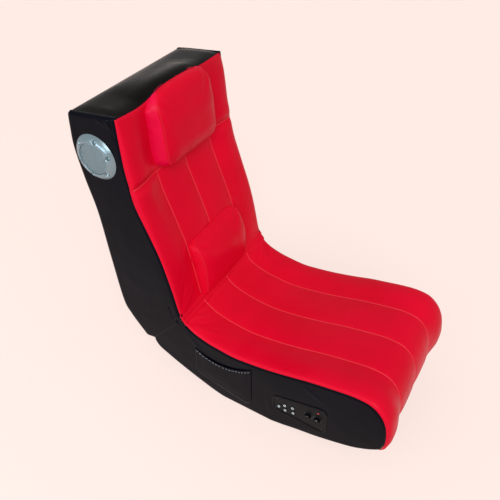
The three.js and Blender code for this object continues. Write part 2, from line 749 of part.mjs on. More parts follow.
// Seat shell
function addSeat() {
  const foamHalf = seatBoardInner - gap;
  const edge = prism(seatOutline, -boardOuter, boardOuter).intersect(foamZone(seatTop, edgeFoam));
  const middle = prism(seatOutline, -foamHalf, foamHalf).intersect(foamZone(seatTop, seatFoam));
  let cushion = edge.add(middle).subtract(seatLining).subtract(relief);
  const deckFront = seatReach - deckFrontMargin;
  const deckPath = seatTop.filter((spot) => spot.x <= deckFront);
  let deck = prism(
    band(deckPath, seatFoam, seatFoam + gap + deckThickness), -foamHalf, foamHalf,
  ).intersect(cutter(box(deckRear, deckFront, -creaseHeight, creaseHeight)))
    .subtract(foamZone(seatTop, seatFoam + gap))
    .subtract(seatLining);
  for (const [, side] of sides) {
    const room = strapRoom(side, seatStrapEnd, seatStrapInner, seatStrapOuter);
    cushion = cushion.subtract(room);
    deck = deck.subtract(room);
  }
  const seamPath = seatTop.filter((spot) => spot.x > seamStart);
  for (const across of seamPlaces) {
    cushion = cushion.subtract(seamCutter(seamPath, across));
  }
  add('seat_cushion', cushion, 'redVinyl');
  add('seat_deck', deck, 'plywood');

  const underside = prism(band(seatCoverPath, 0, coverThickness), -boardOuter, boardOuter);
  add('seat_underside_cover', underside.subtract(relief), 'blackVinyl');

  const boardSpace = foamZone(seatTop, edgeFoam + gap);
  for (const [sideName, side] of sides) {
    let board = sidePrism(seatOutline, side, seatBoardInner, boardOuter)
      .subtract(seatLining)
      .subtract(boardSpace)
      .subtract(relief);
    let cover = sidePrism(seatOutline, side, coverInner, coverOuter).subtract(relief);
    if (side > 0) {
      board = board.subtract(cutter(panelRing(panelLap)));
      const panelRoom = inset(rounded(panelCorners, panelCornerRadius), -gap);
      cover = cover.subtract(sidePrism(panelRoom, side, coverInner - overrun, coverOuter + overrun));
    }
    add(`seat_side_board_${sideName}`, board, 'plywood');
    add(`seat_side_cover_${sideName}`, cover, 'blackVinyl');
  }

  const rockerDepth = coverThickness + gap;
  const rockerPath = [seatTop[seatTop.length - 1], ...seatBottom];
  const rockerBoard = prism(
    band(rockerPath, rockerDepth, rockerDepth + rockerBoardThickness), -foamHalf, foamHalf,
  ).subtract(foamZone(seatTop, seatFoam + gap * 3)).subtract(seatLining);
  add('seat_rocker_board', rockerBoard, 'plywood');
  const rockerRoom = cutter(band(rockerPath, -overrun, rockerDepth + rockerBoardThickness + gap));

  const boardDrop = seatFoam + deckThickness + gap * 3;
  const underDeck = foamZone(seatTop, boardDrop).add(cutter(band(deckPath, -overrun, boardDrop)));
  const housingRear = panelRear + panelLap - housingMargin;
  const crossBoards = [
    ['seat_rear_cross_board', rearBoardReach],
    ['seat_middle_cross_board', housingRear - middleBoardClearance - crossBoardThickness],
    ['seat_front_cross_board', deckFront - deckLip - crossBoardThickness],
  ];
  for (const [name, reach] of crossBoards) {
    const slice = box(reach, reach + crossBoardThickness, -creaseHeight, creaseHeight);
    const board = prism(slice, -foamHalf, foamHalf)
      .intersect(seatInside(-foamHalf, foamHalf))
      .subtract(underDeck)
      .subtract(rockerRoom);
    add(name, board, 'plywood');
  }
}

// Backrest
const bezelRadius = grilleRadius + bezelWidth;
const rimOuter = grilleRadius + gap + bezelRimWidth;
const screwCircle = bezelRadius - screwSetback;
const driverFlangeRadius = screwCircle - screwRadius - driverClearance;
const basketRadius = driverFlangeRadius - driverLip;

function addBack() {
  const foamHalf = backBoardInner - gap;
  const topRailRise = backTopRear.y - topRailDrop - railThickness;
  const speakerRise = topRailRise - topRailClearance - driverFlangeRadius;
  const speaker = point(-speakerSetbackShare * backReach, speakerRise);
  const screwBores = screwPlaces(speaker).map(
    (spot) => cutter(circle(spot, screwRadius + gap, smallRoundSteps)),
  );
  const edge = prism(backOutline, -boardOuter, boardOuter).intersect(foamZone(backFront, edgeFoam));
  const middle = prism(backOutline, -foamHalf, foamHalf).intersect(foamZone(backFront, backFoam));
  let cushion = edge.add(middle).subtract(backLining).subtract(relief);
  let panel = prism(
    band(backFront, backFoam + gap, backFoam + gap + backPanelThickness), -foamHalf, foamHalf,
  ).subtract(backLining).subtract(cutter(circle(crease, backFoam + gap, roundSteps)));
  for (const [, side] of sides) {
    const room = strapRoom(side, backStrapEnd, backStrapInner, backStrapOuter);
    const driverRoom = sidePrism(
      circle(speaker, basketRadius + gap, roundSteps), side, coverInner - driverDepth, coverOuter,
    );
    cushion = cushion.subtract(room).subtract(driverRoom);
    panel = panel.subtract(room).subtract(driverRoom);
  }
  for (const bore of screwBores) {
    cushion = cushion.subtract(bore);
  }
  const seamPath = backFront.filter((spot) => spot.y < headPillowBottom && spot.y > seamStart);
  for (const across of seamPlaces) {
    cushion = cushion.subtract(seamCutter(seamPath, across));
  }
  add('back_cushion', cushion, 'redVinyl');
  add('back_panel', panel, 'plywood');

  const rearCover = prism(band(backCoverPath, 0, coverThickness), -boardOuter, boardOuter);
  add('back_rear_cover', rearCover.subtract(relief).subtract(topLining), 'blackVinyl');

  const front = backTopFront.x;
  const bulge = [];
  for (let index = -pillowSteps; index <= pillowSteps; index += 1) {
    const sideShare = index / pillowSteps;
    const forward = (bulgeTip.x - front) * crownAt(sideShare);
    bulge.push(point(front + forward, sideShare * headPillowWidth / 2));
  }
  const plan = [
    point(-backReach - overrun, -boardOuter),
    point(front, -boardOuter),
    ...bulge,
    point(front, boardOuter),
    point(-backReach - overrun, boardOuter),
  ];
  const rearTrim = cutter(band([...backRear, backTopRear], -overrun, 0));
  const topCover = prism(band(backTopPath, 0, coverThickness), -boardOuter, boardOuter)
    .intersect(planPrism(plan, 0, backRise + overrun))
    .subtract(rearTrim);
  add('back_top_cover', topCover, 'blackVinyl');

  const boardSpace = foamZone(backFront, edgeFoam + gap);
  for (const [sideName, side] of sides) {
    let board = sidePrism(backOutline, side, backBoardInner, boardOuter)
      .subtract(backLining)
      .subtract(boardSpace)
      .subtract(relief)
      .subtract(cutter(circle(speaker, basketRadius + gap, roundSteps)));
    let cover = sidePrism(backOutline, side, coverInner, coverOuter)
      .subtract(relief)
      .subtract(cutter(circle(speaker, driverFlangeRadius + gap, roundSteps)));
    for (const bore of screwBores) {
      board = board.subtract(bore);
      cover = cover.subtract(bore);
    }
    add(`back_side_board_${sideName}`, board, 'plywood');
    add(`back_side_cover_${sideName}`, cover, 'blackVinyl');
    addSpeaker(sideName, side, speaker, screwBores);
  }

  const behindPanel = cutter(band(backFront, -overrun, backFoam + backPanelThickness + gap * 2));
  const rails = [
    ['back_top_rail', topRailRise],
    ['back_middle_rail', middleRailRise],
    ['back_bottom_rail', bottomRailRise],
  ];
  for (const [name, rise] of rails) {
    const slice = box(-backReach, 0, rise, rise + railThickness);
    const rail = prism(slice, -foamHalf, foamHalf)
      .intersect(backInside(-foamHalf, foamHalf))
      .subtract(behindPanel);
    let cleared = rail;
    for (const [, side] of sides) {
      cleared = cleared.subtract(strapRoom(side, backStrapEnd, backStrapInner, backStrapOuter));
    }
    add(name, cleared, 'plywood');
  }
}

function screwPlaces(centre) {
  const spots = [];
  for (let index = 0; index < speakerScrewCount; index += 1) {
    const angle = (2 * Math.PI * (index + speakerScrewPhaseShare)) / speakerScrewCount;
    spots.push(centre.clone().add(
      point(screwCircle * Math.cos(angle), screwCircle * Math.sin(angle)),
    ));
  }
  return spots;
}

function addSpeaker(sideName, side, centre, screwBores) {
  const seat = boardOuter + gap;
  const flangeFace = seat + driverFlange;
  const basketEnd = seat - basketDepth;
  const hubFace = basketEnd + coneHubRadius;
  const driverProfile = [
    [0, hubFace + driverFlange],
    [coneHubRadius, hubFace],
    [basketRadius - driverFlange, flangeFace],
    [driverFlangeRadius, flangeFace],
    [driverFlangeRadius, seat],
    [basketRadius, seat],
    [basketRadius, backBoardInner],
    [magnetRadius, basketEnd],
    [magnetRadius, basketEnd - magnetHeight],
    [0, basketEnd - magnetHeight],
  ];
  add(`speaker_driver_${sideName}`, turned(driverProfile, centre, side, roundSteps), 'blackPlastic');

  const base = coverOuter + gap;
  const rimInner = grilleRadius + gap;
  const slope = [];
  for (let step = 0; step <= bezelSteps; step += 1) {
    const share = step / bezelSteps;
    const height = bezelEdge + (bezelRimHeight - bezelEdge) * (1 - share ** bezelRoundness);
    slope.push([THREE.MathUtils.lerp(rimOuter, bezelRadius, share), base + height]);
  }
  const bezelProfile = [
    [rimInner, base],
    [rimInner, base + bezelRimHeight],
    ...slope,
    [bezelRadius, base],
    [rimInner, base],
  ];
  let bezel = turned(bezelProfile, centre, side, roundSteps);
  for (const bore of screwBores) {
    bezel = bezel.subtract(bore);
  }
  for (const spot of screwPlaces(centre)) {
    const well = circle(spot, screwHeadRadius + screwWellClearance, smallRoundSteps);
    bezel = bezel.subtract(sidePrism(well, side, base + bezelFlange, base + bezelRimHeight * 2));
  }
  add(`speaker_bezel_${sideName}`, bezel, 'silverPaint');

  const rim = base + bezelRimHeight - grilleDome;
  const dome = (share) => [grilleRadius * share, rim + grilleDome * (1 - share * share)];
  const domeShares = [0, 0.35, 0.65, 0.85, 1];
  const outerFace = domeShares.map(dome);
  const innerFace = outerFace.map(([radius, across]) => [radius, across - grilleSheet]).reverse();
  const grille = turned([...outerFace, ...innerFace], centre, side, roundSteps);
  add(`speaker_grille_${sideName}`, grille, 'silverPaint');

  const headBase = base + bezelFlange + gap;
  const screwProfile = [
    [0, headBase + screwHeadHeight],
    [screwHeadRadius, headBase + screwHeadHeight / 2],
    [screwHeadRadius, headBase],
    [screwRadius, headBase],
    [screwRadius, backBoardInner + gap],
    [0, backBoardInner + gap],
  ];
  screwPlaces(centre).forEach((spot, index) => {
    const screw = turned(screwProfile, spot, side, smallRoundSteps);
    add(`speaker_screw_${sideName}_${index + 1}`, screw, 'screwSteel');
  });
}

// The rounded face that a pillow shows from the front
function pillowFace(width, bottom, top) {
  const half = width / 2;
  const corners = [point(-half, bottom), point(half, bottom), point(half, top), point(-half, top)];
  return frontPrism(rounded(corners, pillowCorner), -backReach, backReach);
}

function addPillows() {
  const headSwell = (downShare) => {
    const into = Math.max(0, (downShare - headRoundStartShare) / (1 - headRoundStartShare));
    return Math.sqrt(1 - into * into);
  };
  const head = pillow(
    backFront, headPillowWidth, headPillowBottom, backRise, headPillowThickness, headSwell,
  );
  const headFace = pillowFace(headPillowWidth, headPillowBottom, backRise + overrun);
  add('head_pillow', head.intersect(headFace).subtract(topLining), 'redVinyl');

  const lumbarSwell = (downShare) => Math.sin(Math.PI * downShare) ** lumbarPlumpness;
  const [low, high] = [lumbarPillowBottom, lumbarPillowTop];
  const lumbar = pillow(
    backFront, lumbarPillowWidth, low, high, lumbarPillowThickness, lumbarSwell,
  );
  const lumbarFace = pillowFace(lumbarPillowWidth, low, high);
  add('lumbar_pillow', lumbar.intersect(lumbarFace).subtract(relief), 'redVinyl');
}

addSeat();
addPanel();
addAmplifier();
addPocket();
addBack();
addPillows();
for (const [sideName, side] of sides) {
  addHinge(sideName, side);
}

export default chair;
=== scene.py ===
import json
import math

import bpy
import numpy as np
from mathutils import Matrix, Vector, noise


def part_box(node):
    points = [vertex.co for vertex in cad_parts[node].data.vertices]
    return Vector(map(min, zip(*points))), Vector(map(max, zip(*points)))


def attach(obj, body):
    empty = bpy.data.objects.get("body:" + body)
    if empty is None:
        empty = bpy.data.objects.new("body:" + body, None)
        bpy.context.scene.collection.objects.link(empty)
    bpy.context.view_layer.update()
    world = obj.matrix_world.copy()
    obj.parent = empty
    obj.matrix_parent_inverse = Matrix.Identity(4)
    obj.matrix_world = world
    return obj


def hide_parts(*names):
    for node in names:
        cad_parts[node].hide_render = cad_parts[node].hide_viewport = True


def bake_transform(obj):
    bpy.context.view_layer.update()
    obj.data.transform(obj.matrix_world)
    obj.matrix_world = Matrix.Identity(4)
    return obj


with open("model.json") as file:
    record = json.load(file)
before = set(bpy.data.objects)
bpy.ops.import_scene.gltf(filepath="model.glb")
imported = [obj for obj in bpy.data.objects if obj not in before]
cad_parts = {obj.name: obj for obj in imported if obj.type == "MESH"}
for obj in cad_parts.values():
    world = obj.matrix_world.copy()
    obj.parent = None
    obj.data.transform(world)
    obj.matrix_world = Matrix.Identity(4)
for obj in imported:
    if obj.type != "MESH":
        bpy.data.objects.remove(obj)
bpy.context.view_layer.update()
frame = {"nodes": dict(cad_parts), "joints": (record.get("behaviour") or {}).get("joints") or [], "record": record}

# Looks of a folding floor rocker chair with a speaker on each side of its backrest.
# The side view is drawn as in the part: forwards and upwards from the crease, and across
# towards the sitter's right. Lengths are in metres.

scene = bpy.context.scene

# Sizes of the whole chair, as in its frame
SEAT_REACH = 0.566
CREASE_HEIGHT = 0.246
BACK_RISE = 0.540
BACK_REACH = 0.260
NOTCH_REACH = 0.108
NOTCH_DROP = 0.128
SIDE_LOW, SIDE_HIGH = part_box("seat_side_cover_left")
HALF_WIDTH = SIDE_HIGH.x
CREASE_Y = SIDE_LOW.y + SEAT_REACH
HINGE = next(joint for joint in frame["joints"] if joint["name"] == "back_fold")["pos_m"]

# Upholstery
ROLL_WIDTH = 0.008  # the padded edge of a side cover, across
ROLL_DEPTH = 0.008  # and down
FLAT_ROLL = 0.0012  # where two covers of one side meet
WAVE_FADE = 0.03  # from an edge, where a cover's waves begin
SIDE_WAVES = [(9, 3.0, 0.0007), (26, 5.0, 0.0003)]  # scale, seed and height
COVER_WAVES = [(11, 0.0, 0.0011), (30, 4.0, 0.0004)]
TOP_WAVES = [(8, 2.0, 0.0010), (30, 7.0, 0.00015)]
SIDE_SINK = 0.0007
CUSHION_HALF = HALF_WIDTH - 0.0038
SEAM_OFFSET = 0.107  # middle to the outer sewn lines
SEAM_DROP = 0.0030  # at the level seam
SEAM_VALLEY = 0.0012
BULGE_REACH = 0.062  # from an outer sewn line to where the cushion's side is full
EDGE_ROUND = 0.024
SIDE_SPREAD = {"seat_pad": 0.05, "back_pad": 0.32}  # sideways, for what a side stands out
SEAM_VALLEY_WIDTH = 0.0022
SEAM_LIFT = 0.0008  # of a welt's middle over its cover
WELT_RADIUS = 0.0009
TOP_WELT_RADIUS = 0.0011
HEM_RADIUS = 0.0008
THREAD_RADIUS = 0.00045
SIDE_THICKNESS = 0.0016  # of the covers
SKIN_THICKNESS = 0.0014
POCKET_THICKNESS = 0.0009
CHANNEL_RISE = 0.0016  # before a channel swells
CHANNEL_CAP = 0.0022  # most that the cloth may move
PILLOW_CAP = 0.005
CUSHION_SLACK = 0.004  # share by which the cloth is larger than its rest
PILLOW_SLACK = 0.012
CUSHION_CALM = 24  # rounds of smoothing
PILLOW_CALM = 12
CROSS_SEAM_RISE = 0.367  # crease to the back's level seam
CUSHION_DEPTH = 0.022
PILLOW_DEPTH = 0.004  # behind the back's front line
THIN_DEPTH = 0.003  # near the crease
THIN_REACH = 0.05
FOAM_HALF = 0.186
FOAM_SLOPE = 0.01
DIP_WIDTH = 0.012  # of the level seam's hollow
DIP_SHARE = 0.4
DROP_REACH = 0.04
END_REACH = 0.008  # where a cushion's end goes down
END_DROP = 0.002
SHIFT_REACH = 0.05  # how far down the back the top seam's shape is felt
SPREAD_START = 0.15
SPREAD_REACH = 0.05
QUILT_REACH = 0.03
QUILT_HEIGHT = 0.0007
EDGE_DEPTH = 0.009  # over the side boards
CREASE_CLEAR = 0.013  # kept free around the hinge, where the covers crumple

# Fineness
COARSE = 0.008
ROW_SPACING = 0.006
MEDIUM = 0.005
FINE = 0.004
AVERAGED = 0.005  # each side of a place where a direction is taken
SPAN_STEPS = 10
CLOTH_FRAMES = 20
CLOTH = {
    "quality": 6, "mass": 0.3, "air_damping": 4, "uniform_pressure_force": 4.0,
    "tension_stiffness": 25, "compression_stiffness": 25, "shear_stiffness": 12,
    "bending_stiffness": 0.8, "tension_damping": 15, "compression_damping": 15,
    "shear_damping": 15,
}
COVER_RINGS = (0.0, 0.0015, 0.004, 0.008)
COVER_MIDDLE = 0.192  # half of the width with even marks
SEAM_MARKS = (0.0006, 0.0012, 0.002, 0.0032, 0.005)  # from a sewn line
PILLOW_RINGS = (0.0, 0.001, 0.0022, 0.004, 0.0065, 0.0095)
PILLOW_INSET = 0.013

# Outlines seen from the side. Seat top and nose: share of the seat's reach forwards, share of
# the crease's height upwards.
SEAT_TOP_SHARES = [
    (0, 0), (0.018, -0.055), (0.058, -0.123), (0.119, -0.173), (0.181, -0.198), (0.263, -0.215),
    (0.343, -0.1975), (0.45, -0.155), (0.547, -0.1), (0.635, -0.045), (0.721, -0.003),
    (0.804, 0.033), (0.862, 0.042), (0.917, 0.018), (0.96, -0.07), (0.986, -0.19), (0.998, -0.34),
    (1, -0.46),
]
SEAT_BOTTOM_SHARES = [
    (0.994, -0.55), (0.964, -0.618), (0.909, -0.705), (0.845, -0.775), (0.71, -0.873),
    (0.6, -0.93), (0.507, -0.983), (0.355, -1.04), (0.196, -0.995), (0.0768, -0.907),
    (-0.0427, -0.793), (-0.125, -0.7),
]
# Near the notch: shares of the notch's reach rearwards and of its drop upwards
SEAT_HEEL_SHARES = [(0.88, -1.23), (0.985, -1.095)]
BACK_HEEL_SHARE = (1.213, -1.035)
# Back, from the top down and from its lower end up: share of its reach rearwards, of its rise
BACK_FRONT_SHARES = [
    (0.474, 1), (0.466, 0.957), (0.453, 0.87), (0.439, 0.77), (0.414, 0.696), (0.379, 0.603),
    (0.275, 0.47), (0.169, 0.329), (0.087, 0.173), (0.036, 0.049), (0, 0),
]
BACK_REAR_SHARES = [
    (0.578, -0.2006), (0.692, -0.1246), (0.765, -0.0395), (0.825, 0.233), (0.874, 0.484),
    (0.948, 0.651), (1, 0.8), (0.996, 0.9), (0.986, 0.959),
]
BACK_TOP_REAR_SHARE = (0.964, 0.969)


def seat_spots(shares):
    return [(forward * SEAT_REACH, up * CREASE_HEIGHT) for forward, up in shares]


def notch_spots(shares):
    return [(-rearward * NOTCH_REACH, up * NOTCH_DROP) for rearward, up in shares]


def back_spots(shares):
    return [(-rearward * BACK_REACH, up * BACK_RISE) for rearward, up in shares]


# Paths

def smooth_path(points):
    """A curve through all the points"""
    points = np.array(points, float)
    last = len(points) - 1
    spots = []
    for span in range(last):
        start, end = points[span], points[span + 1]
        leaving = (end - points[max(span - 1, 0)]) / 2
        arriving = (points[min(span + 2, last)] - start) / 2
        for step in range(SPAN_STEPS):
            t = step / SPAN_STEPS
            bend = (2 * start - 2 * end + leaving + arriving) * t**3
            lean = (3 * end - 3 * start - 2 * leaving - arriving) * t**2
            spots.append(bend + lean + leaving * t + start)
    return np.array([*spots, points[last]])


class Route:
    """A path in the side view, measured along its length. Its left is outside the chair."""

    def __init__(self, spots):
        self.spots = np.array(spots, float)
        self.steps = np.diff(self.spots, axis=0)
        self.marks = np.concatenate([[0], np.cumsum(np.linalg.norm(self.steps, axis=1))])
        self.length = self.marks[-1]

    def spot(self, along):
        columns = [np.interp(along, self.marks, self.spots[:, axis]) for axis in (0, 1)]
        return np.stack(columns, axis=-1)

    def outward(self, along):
        before = self.spot(np.maximum(np.asarray(along) - AVERAGED, 0))
        after = self.spot(np.minimum(np.asarray(along) + AVERAGED, self.length))
        ahead = after - before
        ahead = ahead / np.linalg.norm(ahead, axis=-1, keepdims=True)
        return np.stack([-ahead[..., 1], ahead[..., 0]], axis=-1)

    def raised(self, along, height):
        """Spots at a height over the path"""
        return self.spot(along) + self.outward(along) * np.asarray(height)[..., None]

    def distance(self, spots):
        offset = np.asarray(spots, float)[..., None, :] - self.spots[:-1]
        share = (offset * self.steps).sum(-1) / (self.steps**2).sum(-1)
        nearest = offset - np.clip(share, 0, 1)[..., None] * self.steps
        return np.linalg.norm(nearest, axis=-1).min(-1)

    def mark_at(self, rise):
        """How far along a path that runs down lies a height"""
        return float(np.interp(-rise, -self.spots[:, 1], self.marks))

    def part(self, start, end):
        return self.spot(spread_between(start, end, FINE))


def flattened(spots, floor):
    return np.array([(forward, max(up, floor)) for forward, up in spots])


CREASE = np.zeros(2)
NOTCH = np.array([-NOTCH_REACH, -NOTCH_DROP])
PIN = np.array([CREASE_Y - HINGE[1], HINGE[2] - CREASE_HEIGHT])
seat_top = Route(smooth_path(seat_spots(SEAT_TOP_SHARES)))
seat_bottom = Route(flattened(
    smooth_path(seat_spots(SEAT_BOTTOM_SHARES) + notch_spots(SEAT_HEEL_SHARES)), -CREASE_HEIGHT,
))
back_front = Route(smooth_path(back_spots(BACK_FRONT_SHARES)))
back_rear = Route(smooth_path(notch_spots([BACK_HEEL_SHARE]) + back_spots(BACK_REAR_SHARES)))
BACK_TOP_REAR = np.array(back_spots([BACK_TOP_REAR_SHARE])[0])
BACK_TOP_FRONT = back_front.spots[0]


def ray(angle):
    return np.array([math.cos(angle), math.sin(angle)])


def place(spots, across):
    """Points of the chair at side-view spots and distances towards the sitter's right"""
    spots = np.asarray(spots, float)
    across = np.broadcast_to(across, spots.shape[:-1])
    return np.stack([-across, CREASE_Y - spots[..., 0], CREASE_HEIGHT + spots[..., 1]], axis=-1)


def turned_move(move):
    """A side-view move as a move of the chair"""
    return place(move, 0) - place(np.zeros(2), 0)


# Meshes

def make_piece(name, points, faces, material):
    mesh = bpy.data.meshes.new(name)
    mesh.from_pydata([tuple(point) for point in np.asarray(points)], [], faces)
    mesh.shade_smooth()
    mesh.materials.append(material)
    piece = bpy.data.objects.new(name, mesh)
    scene.collection.objects.link(piece)
    return piece


def grid_faces(rows, columns, start=0, flipped=False):
    faces = []
    for row in range(rows - 1):
        for column in range(columns - 1):
            corner = start + row * columns + column
            face = (corner, corner + 1, corner + columns + 1, corner + columns)
            faces.append(face[::-1] if flipped else face)
    return faces


def rim_of(rows, columns):
    """The points round the edge of a grid, in order"""
    first = list(range(columns))
    right = [row * columns + columns - 1 for row in range(1, rows)]
    last = [(rows - 1) * columns + column for column in reversed(range(columns - 1))]
    left = [row * columns for row in reversed(range(1, rows - 1))]
    return first + right + last + left


def make_pad(name, top, bottom, material, wall_rings=2, bulge=0.0):
    """A closed form: a top grid, a bottom grid of the same size and a wall between them.
    Gives the piece, and the numbers of the wall's and bottom's points."""
    rows, columns = top.shape[:2]
    rim = rim_of(rows, columns)
    top_rim = top.reshape(-1, 3)[rim]
    bottom_rim = bottom.reshape(-1, 3)[rim]
    outward = top_rim - top_rim.mean(axis=0)
    outward /= np.linalg.norm(outward, axis=1, keepdims=True)
    rings = [rim]
    blocks = [top.reshape(-1, 3)]
    count = rows * columns
    for ring in range(wall_rings):
        share = (ring + 1) / (wall_rings + 1)
        blocks.append(
            top_rim * (1 - share) + bottom_rim * share
            + outward * bulge * math.sin(math.pi * share)
        )
        rings.append(list(range(count, count + len(rim))))
        count += len(rim)
    rings.append([count + index for index in rim])
    faces = grid_faces(rows, columns) + grid_faces(rows, columns, count, flipped=True)
    for upper, lower in zip(rings, rings[1:]):
        for index in range(len(rim)):
            after = (index + 1) % len(rim)
            faces.append((upper[after], upper[index], lower[index], lower[after]))
    blocks.append(bottom.reshape(-1, 3))
    piece = make_piece(name, np.concatenate(blocks), faces, material)
    walls = [index for ring in rings[1:-1] for index in ring]
    return piece, walls, list(range(count, count + rows * columns))


def spread_between(start, end, spacing):
    count = max(2, round(abs(end - start) / spacing) + 1)
    return np.linspace(start, end, count)


def ringed(start, end, rings, inset, spacing):
    """Marks from one end to the other: rings at each end, and even ones between the insets"""
    rings = np.array(rings)
    inner = spread_between(start + inset, end - inset, spacing)
    return np.concatenate([start + rings, inner, end - rings[::-1]])


def marks_with(lines, spacing, near=()):
    """Marks at an even spacing from the first line to the last, closer beside the inner ones"""
    marks = []
    for start, end in zip(lines, lines[1:]):
        marks.extend(spread_between(start, end, spacing))
    if near:
        inner = lines[1:-1]
        marks = [
            mark for mark in marks
            if mark in inner or all(abs(mark - line) > max(near) for line in inner)
        ]
        marks.extend(line + side * step for line in inner for side in (-1, 1) for step in near)
    return np.unique(np.round(marks, 7))


def spline_at(values, marks, wanted):
    """Values known at marks along the first axis, read smoothly at other marks"""
    slopes = np.gradient(values, marks, axis=0)
    span = np.clip(np.searchsorted(marks, wanted, side="right") - 1, 0, len(marks) - 2)
    shape = (-1,) + (1,) * (values.ndim - 1)
    width = (marks[span + 1] - marks[span]).reshape(shape)
    t = (wanted - marks[span]).reshape(shape) / width
    return (
        (2 * t**3 - 3 * t**2 + 1) * values[span] + (t**3 - 2 * t**2 + t) * width * slopes[span]
        + (3 * t**2 - 2 * t**3) * values[span + 1] + (t**3 - t**2) * width * slopes[span + 1]
    )


def on_grid(values, rows, columns, wanted_rows, wanted_columns):
    """Values known on a coarse grid, read smoothly on another"""
    values = spline_at(values, rows, wanted_rows)
    return spline_at(values.swapaxes(0, 1), columns, wanted_columns).swapaxes(0, 1)


def ease(value):
    value = np.clip(value, 0, 1)
    return value * value * (3 - 2 * value)


def dome(distance, reach):
    """From 0 at an edge to 1 at a distance from it, as a quarter round"""
    return np.sqrt(1 - (1 - np.clip(distance / reach, 0, 1)) ** 2)


def rough(points, scale, seed=0.0):
    """Smooth unevenness from -1 to 1 over points of any grid"""
    flat = np.asarray(points, float).reshape(-1, 3)
    values = [noise.noise(Vector(point) * scale + Vector((seed, seed, seed))) for point in flat]
    return np.array(values).reshape(np.shape(points)[:-1])


def waving(points, waves):
    """Unevenness made of several waves, each with its scale, seed and height"""
    return sum(rough(points, scale, seed) * height for scale, seed, height in waves)


def along_tube(spots, radius, sides=8, closed=False):
    """Points and faces of a tube round a line of points"""
    spots = np.asarray(spots, float)
    count = len(spots)
    points, faces = [], []
    side = None
    for index, spot in enumerate(spots):
        before = spots[(index - 1) % count] if closed else spots[max(index - 1, 0)]
        after = spots[(index + 1) % count] if closed else spots[min(index + 1, count - 1)]
        ahead = Vector(after - before).normalized()
        if side is None:
            side = ahead.orthogonal().normalized()
        side = (side - ahead * side.dot(ahead)).normalized()
        up = ahead.cross(side)
        for step in range(sides):
            angle = 2 * math.pi * step / sides
            points.append(Vector(spot) + (side * math.cos(angle) + up * math.sin(angle)) * radius)
    for index in range(count if closed else count - 1):
        for step in range(sides):
            after = (step + 1) % sides
            lower, upper = index * sides, (index + 1) % count * sides
            faces.append((lower + step, lower + after, upper + after, upper + step))
    if not closed:
        faces.append(tuple(reversed(range(sides))))
        faces.append(tuple(range((count - 1) * sides, count * sides)))
    return points, faces


def ring_faces(rings, steps, flipped=False):
    """Faces between rings of points that follow one another"""
    faces = []
    for ring in range(rings - 1):
        for step in range(steps):
            after = (step + 1) % steps
            low, high = ring * steps, (ring + 1) * steps
            face = (low + step, low + after, high + after, high + step)
            faces.append(face[::-1] if flipped else face)
    return faces


def joined(name, parts, material):
    """One piece out of several lists of points and faces"""
    points, faces = [], []
    for part_points, part_faces in parts:
        start = len(points)
        points.extend(part_points)
        faces.extend(tuple(start + index for index in face) for face in part_faces)
    return make_piece(name, points, faces, material)


def stitches(name, lines, material, length=0.0042, spacing=0.0066):
    """Short threads laid end to end along lines of points"""
    parts = []
    for line in lines:
        line = np.asarray(line, float)
        marks = np.concatenate([[0], np.cumsum(np.linalg.norm(np.diff(line, axis=0), axis=1))])
        for start in np.arange(spacing / 2, marks[-1] - length, spacing):
            wanted = np.linspace(start, start + length, 4)
            spots = np.stack([np.interp(wanted, marks, line[:, axis]) for axis in range(3)], -1)
            parts.append(along_tube(spots, THREAD_RADIUS, sides=6))
    return joined(name, parts, material)


def add_backing(piece, thickness, side=-1):
    """Gives a cover its thickness, inwards or outwards"""
    backing = piece.modifiers.new("backing", "SOLIDIFY")
    backing.thickness = thickness
    backing.offset = side


def finish_piece(piece, body, nodes=()):
    if nodes:
        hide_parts(*nodes)
    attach(piece, body)


def swell(piece, held, slack, cap):
    """How far each point moves when a cover swells over its filling as cloth, with the held
    points sewn down. No point moves further than the cap."""
    rest = np.zeros(len(piece.data.vertices) * 3)
    piece.data.vertices.foreach_get("co", rest)
    rest = rest.reshape(-1, 3)
    sewn = piece.vertex_groups.new(name="sewn")
    sewn.add([int(index) for index in held], 1.0, "REPLACE")
    cloth = piece.modifiers.new("swelling", "CLOTH")
    settings = cloth.settings
    for name, value in CLOTH.items():
        setattr(settings, name, value)
    settings.shrink_min = -slack
    settings.use_pressure = True
    settings.vertex_group_mass = sewn.name
    settings.effector_weights.gravity = 0
    cloth.point_cache.frame_start = 1
    cloth.point_cache.frame_end = CLOTH_FRAMES
    for step in range(1, CLOTH_FRAMES + 1):
        scene.frame_set(step)
    swollen = piece.evaluated_get(bpy.context.evaluated_depsgraph_get())
    moved = np.zeros(len(swollen.data.vertices) * 3)
    swollen.data.vertices.foreach_get("co", moved)
    move = moved.reshape(-1, 3) - rest
    size = np.linalg.norm(move, axis=1, keepdims=True)
    move *= cap * np.tanh(size / cap) / np.maximum(size, 1e-9)
    piece.modifiers.remove(cloth)
    scene.frame_set(1)
    return move


# Materials

